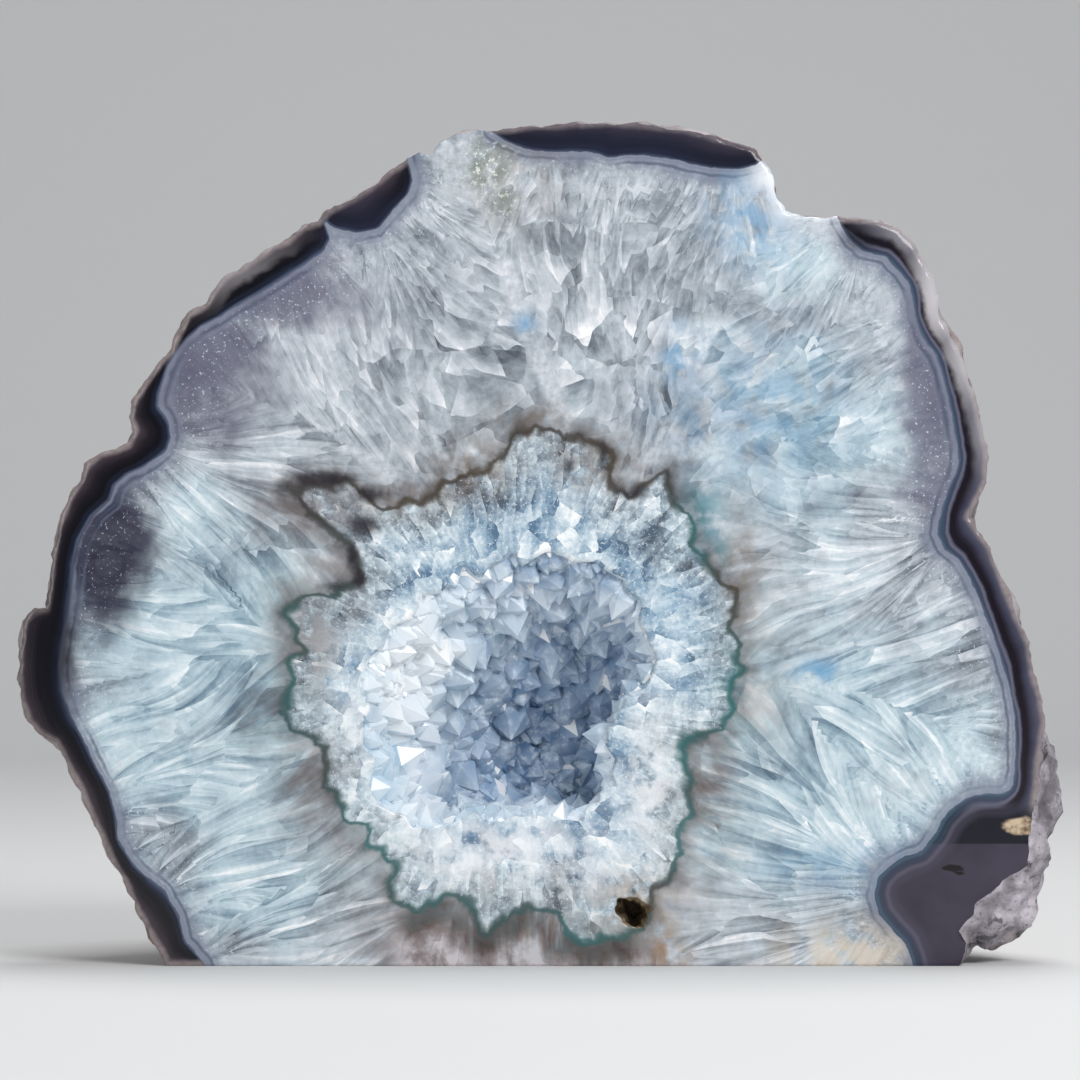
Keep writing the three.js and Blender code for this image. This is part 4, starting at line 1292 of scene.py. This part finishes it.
# The quartz points
def quartz_point():
    """One six-sided point on the origin, about one across, its root below it."""
    work = bmesh.new()
    rings = []
    for height in (-0.9, 0.45):
        rings.append([
            work.verts.new((math.cos(k * math.pi / 3) / 2, math.sin(k * math.pi / 3) / 2, height))
            for k in range(6)
        ])
    tip = work.verts.new((0.06, 0.03, 1.0))
    work.faces.new(rings[0][::-1])
    for k in range(6):
        n = (k + 1) % 6
        work.faces.new((rings[0][k], rings[0][n], rings[1][n], rings[1][k]))
        work.faces.new((rings[1][k], rings[1][n], tip))
    mesh = bpy.data.meshes.new("quartz_point")
    work.to_mesh(mesh)
    work.free()
    return place_new("quartz_point", mesh)


def build_lining():
    """Front and back of the skin that the points stand on, ring by ring down the hollow's wall."""
    columns, rings = LINING_COLUMNS, LINING_RINGS
    points, _, hollow_loop, _, _, wall = read_stone()
    turns = np.linspace(0, 2 * math.pi, columns, endpoint=False)
    directions = np.stack([np.cos(turns), np.sin(turns)], axis=1)
    edge = edge_towards(points[hollow_loop][:, [0, 2]], HOLLOW_MIDDLE, directions)
    tree = BVHTree.FromPolygons(points.tolist(), wall.tolist())
    centre = Vector((HOLLOW_MIDDLE[0], FACE_Y + 1.0, HOLLOW_MIDDLE[1]))
    front, back = [], []
    for ring in range(rings + 1):
        tilt = ring / rings * math.pi / 2
        for n, way in enumerate(directions):
            if ring == 0:
                front.append((edge[n][0], FACE_Y + LINING_FRONT, edge[n][1]))
                back.append((edge[n][0], FACE_Y + LINING_BACK, edge[n][1]))
                continue
            ray = inward(way, tilt)
            hit = tree.ray_cast(centre, ray)[0]
            reach = (hit - centre).length
            lump = 0.9 * rough(tuple(hit), 7.0, 2)
            grown = min(1.0, ring / rings * 4)
            front.append(tuple(centre + ray * (reach - 0.5 - (1.3 + lump) * grown)))
            back.append(tuple(centre + ray * (reach - LINING_GAP)))
            if ring == rings:
                break
    return front, back


def point_sizes(wall):
    """How wide a point is at each corner of the lining, in millimetres: widest deep down and on the slope."""
    sizes = []
    for x, y, z in wall:
        deep = min(1.0, max(0.0, (y - FACE_Y) / DEEP_FROM))
        arm = np.array([x, z]) - HOLLOW_MIDDLE
        steep = 0.5 + 0.5 * np.dot(arm / max(1.0, np.hypot(*arm)), (0.7071, -0.7071))
        sizes.append(POINT_WIDTH + DEEP_WIDTH * deep + SLOPE_WIDTH * (1 - steep) * (1 - deep))
    return sizes


def make_points_tree(point, material):
    """The node tree that sets quartz points on a surface, and the identifiers of its inputs."""
    tree = MAKING["tree"] = bpy.data.node_groups.new("quartz_points", "GeometryNodeTree")
    face = tree.interface
    face.new_socket("Geometry", in_out="INPUT", socket_type="NodeSocketGeometry")
    labels = {}
    for label, (kind, start) in POINT_INPUTS.items():
        socket = face.new_socket(label, in_out="INPUT", socket_type=kind)
        socket.default_value = start
        labels[label] = socket.identifier
    face.new_socket("Geometry", in_out="OUTPUT", socket_type="NodeSocketGeometry")
    given = tree.nodes.new("NodeGroupInput").outputs
    spread = put("GeometryNodeDistributePointsOnFaces", {
        "Mesh": given["Geometry"], "Distance Min": given["Spacing"], "Density Max": 900000.0,
        "Seed": given["Seed"]}, distribute_method="POISSON").node
    spin = put("FunctionNodeRandomValue", {
        0: (0, 0, 0), 1: (0, 0, 2 * math.pi), "Seed": 3}, data_type="FLOAT_VECTOR")
    tilt = put("FunctionNodeRandomValue", {
        0: (-1, -1, 0), 1: (1, 1, 0), "Seed": 5}, data_type="FLOAT_VECTOR")
    tilt = put("ShaderNodeVectorMath", {0: tilt, "Scale": given["Lean"]}, operation="SCALE")
    turned = spread.outputs["Rotation"]
    for turn in (tilt, spin):
        turned = put("FunctionNodeRotateRotation", {
            0: turned, 1: put("FunctionNodeEulerToRotation", {0: turn})}, rotation_space="LOCAL")
    wide = put("GeometryNodeInputNamedAttribute", {"Name": "size"}, data_type="FLOAT")
    sample = put("FunctionNodeRandomValue", {2: 0.0, 3: 1.0, "Seed": 8}, 1, data_type="FLOAT")
    sample = put("ShaderNodeMapRange", {
        0: calc("POWER", sample, 1.7), 3: given["Shortest"], 4: given["Longest"]})
    tall = put("FunctionNodeRandomValue", {2: 0.55, 3: 1.15, "Seed": 9}, 1, data_type="FLOAT")
    wide = times(times(wide, sample), MM)
    scale = put("ShaderNodeCombineXYZ", {0: wide, 1: wide, 2: times(wide, tall)})
    shape = put("GeometryNodeObjectInfo", {"Object": point}, "Geometry")
    placed = put("GeometryNodeInstanceOnPoints", {
        "Points": spread.outputs["Points"], "Instance": shape, "Rotation": turned, "Scale": scale})
    real = put("GeometryNodeRealizeInstances", {0: placed})
    flat = put("GeometryNodeSetShadeSmooth", {"Geometry": real, "Shade Smooth": False})
    done = put("GeometryNodeSetMaterial", {"Geometry": flat, "Material": material})
    feed(done, tree.nodes.new("NodeGroupOutput").inputs[0])
    return tree, labels


def build_druse(material, backing):
    """The hollow's crust: a closed lining and the quartz points that stand on it."""
    columns = LINING_COLUMNS
    wall, back = build_lining()
    faces = bowl_faces(columns, LINING_RINGS)
    lining = make_mesh("druse_lining", wall, faces, [0] * len(faces), [material], smooth=False)
    store(lining.data, "size", point_sizes(wall))
    point = quartz_point()
    tree, labels = make_points_tree(point, material)
    grow = lining.modifiers.new("points", "NODES")
    grow.node_group = tree
    for label, (_, start) in POINT_INPUTS.items():
        grow[labels[label]] = start
    bake_modifiers(lining)
    bpy.data.objects.remove(point)

    behind = len(wall)
    skin = faces + [tuple(behind + i for i in f[::-1]) for f in faces]
    skin += [(c, behind + c, behind + (c + 1) % columns, (c + 1) % columns) for c in range(columns)]
    crust = make_mesh("druse_crystals", wall + back, skin, [1] * len(skin), [material, backing], smooth=False)
    join_corners(crust)
    mesh = lining.data
    points = read(mesh.vertices, "co", 3).reshape(-1, POINT_CORNERS, 3)
    draw = np.random.default_rng(4)
    clear = FACE_Y * MM + draw.uniform(0.05, 0.9, len(points)) * MM
    points[:, :, 1] += np.maximum(0, clear - points[:, :, 1].min(axis=1))[:, None]
    mesh.vertices.foreach_set("co", points.ravel())
    plain = len(crust.data.vertices)
    plain_faces = len(crust.data.polygons)
    work = bmesh.new()
    work.from_mesh(crust.data)
    work.from_mesh(mesh)
    work.to_mesh(crust.data)
    work.free()
    bpy.data.objects.remove(lining)
    shades = np.repeat(draw.random(len(points)), POINT_CORNERS)
    store(crust.data, "shade", np.concatenate([np.full(plain, 0.5), shades]))
    tips = np.zeros((len(points), POINT_CORNERS))
    tips[:, -1] = 1
    store(crust.data, "tip", np.concatenate([np.zeros(plain), tips.ravel()]))
    # The facets that get a painted highlight
    lit = draw.random((len(points), POINT_FACES)) < GLINTS
    store(crust.data, "glint", np.concatenate([np.zeros(plain_faces), lit.ravel()]), "FACE")
    crust.data.polygons.foreach_set("use_smooth", np.zeros(len(crust.data.polygons), bool))
    return crust


# The studio
def area_light(name, place, aim, size, power):
    data = bpy.data.lights.new(name, "AREA")
    data.shape = "RECTANGLE"
    data.size, data.size_y = size
    data.energy = power
    thing = place_new(name, data)
    thing.location = place
    thing.rotation_euler = (Vector(aim) - Vector(place)).to_track_quat("-Z", "Y").to_euler()


def build_studio():
    """A pale sweep under and behind the stone, and soft lights."""
    profile = [(FLOOR_FRONT, 0.0), (FLOOR_BACK, 0.0)]
    for step in range(1, SWEEP_STEPS + 1):
        turn = step / SWEEP_STEPS * math.pi / 2
        profile.append((FLOOR_BACK + SWEEP_ROUND * math.sin(turn), SWEEP_ROUND * (1 - math.cos(turn))))
    profile.append((FLOOR_BACK + SWEEP_ROUND, WALL_TOP))
    points = [(x / MM, y / MM, z / MM) for y, z in profile for x in (-FLOOR_SIDE, FLOOR_SIDE)]
    faces = [(2 * i, 2 * i + 1, 2 * i + 3, 2 * i + 2) for i in range(len(profile) - 1)]
    material, shader = new_material("studio_paper")
    fill(shader, {"Base Color": tint(214, 214, 214), "Roughness": 0.8, "Specular IOR Level": 0.0})
    floor = make_mesh("studio_sweep", points, faces, [0] * len(faces), [material])
    for light in LIGHTS:
        area_light(*light)
    world = bpy.data.worlds.new("studio_air")
    world.use_nodes = True
    fill(world.node_tree.nodes["Background"], {"Color": (0.9, 0.95, 1.0, 1), "Strength": 0.22})
    bpy.context.scene.world = world


def build_camera():
    """Looks straight at the face, as the photograph does: 216 mm of it fill the picture's width."""
    data = bpy.data.cameras.new("camera")
    data.sensor_width = SENSOR
    data.lens = SENSOR * CAMERA_AWAY / VIEW_WIDTH
    thing = place_new("camera", data)
    thing.location = (TO_PART[0] * MM, FACE_Y * MM - CAMERA_AWAY, CAMERA_HEIGHT)
    thing.rotation_euler = (math.pi / 2, 0, 0)
    bpy.context.scene.camera = thing


face_finish = make_face_finish(FIRST_PARTS)
rind_finish = make_weathered(
    "weathered_rind", tint(92, 80, 84), tint(172, 162, 164), tint(136, 112, 92), fresh=True)
foot_finish = make_weathered(
    "sawn_foot", tint(120, 122, 130), tint(186, 190, 196), tint(150, 146, 144), bump=0.0002)
pit_finish = make_weathered("pit_wall", tint(54, 44, 34), tint(190, 168, 136), tint(120, 96, 64))
druse_finish = make_crystal_finish("druse_quartz", clear=0.85)
milky_finish = make_crystal_finish("milky_quartz", clear=0.0)

geode = build_stone([face_finish, rind_finish, foot_finish, milky_finish])
cut_pit(geode, pit_finish)
describe_face(geode)
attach(geode, "root")
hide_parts("agate_nodule")

druse = build_druse(druse_finish, milky_finish)
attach(druse, "root")
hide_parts("quartz_crust")

build_studio()
build_camera()
bpy.context.scene.view_settings.view_transform = "Standard"
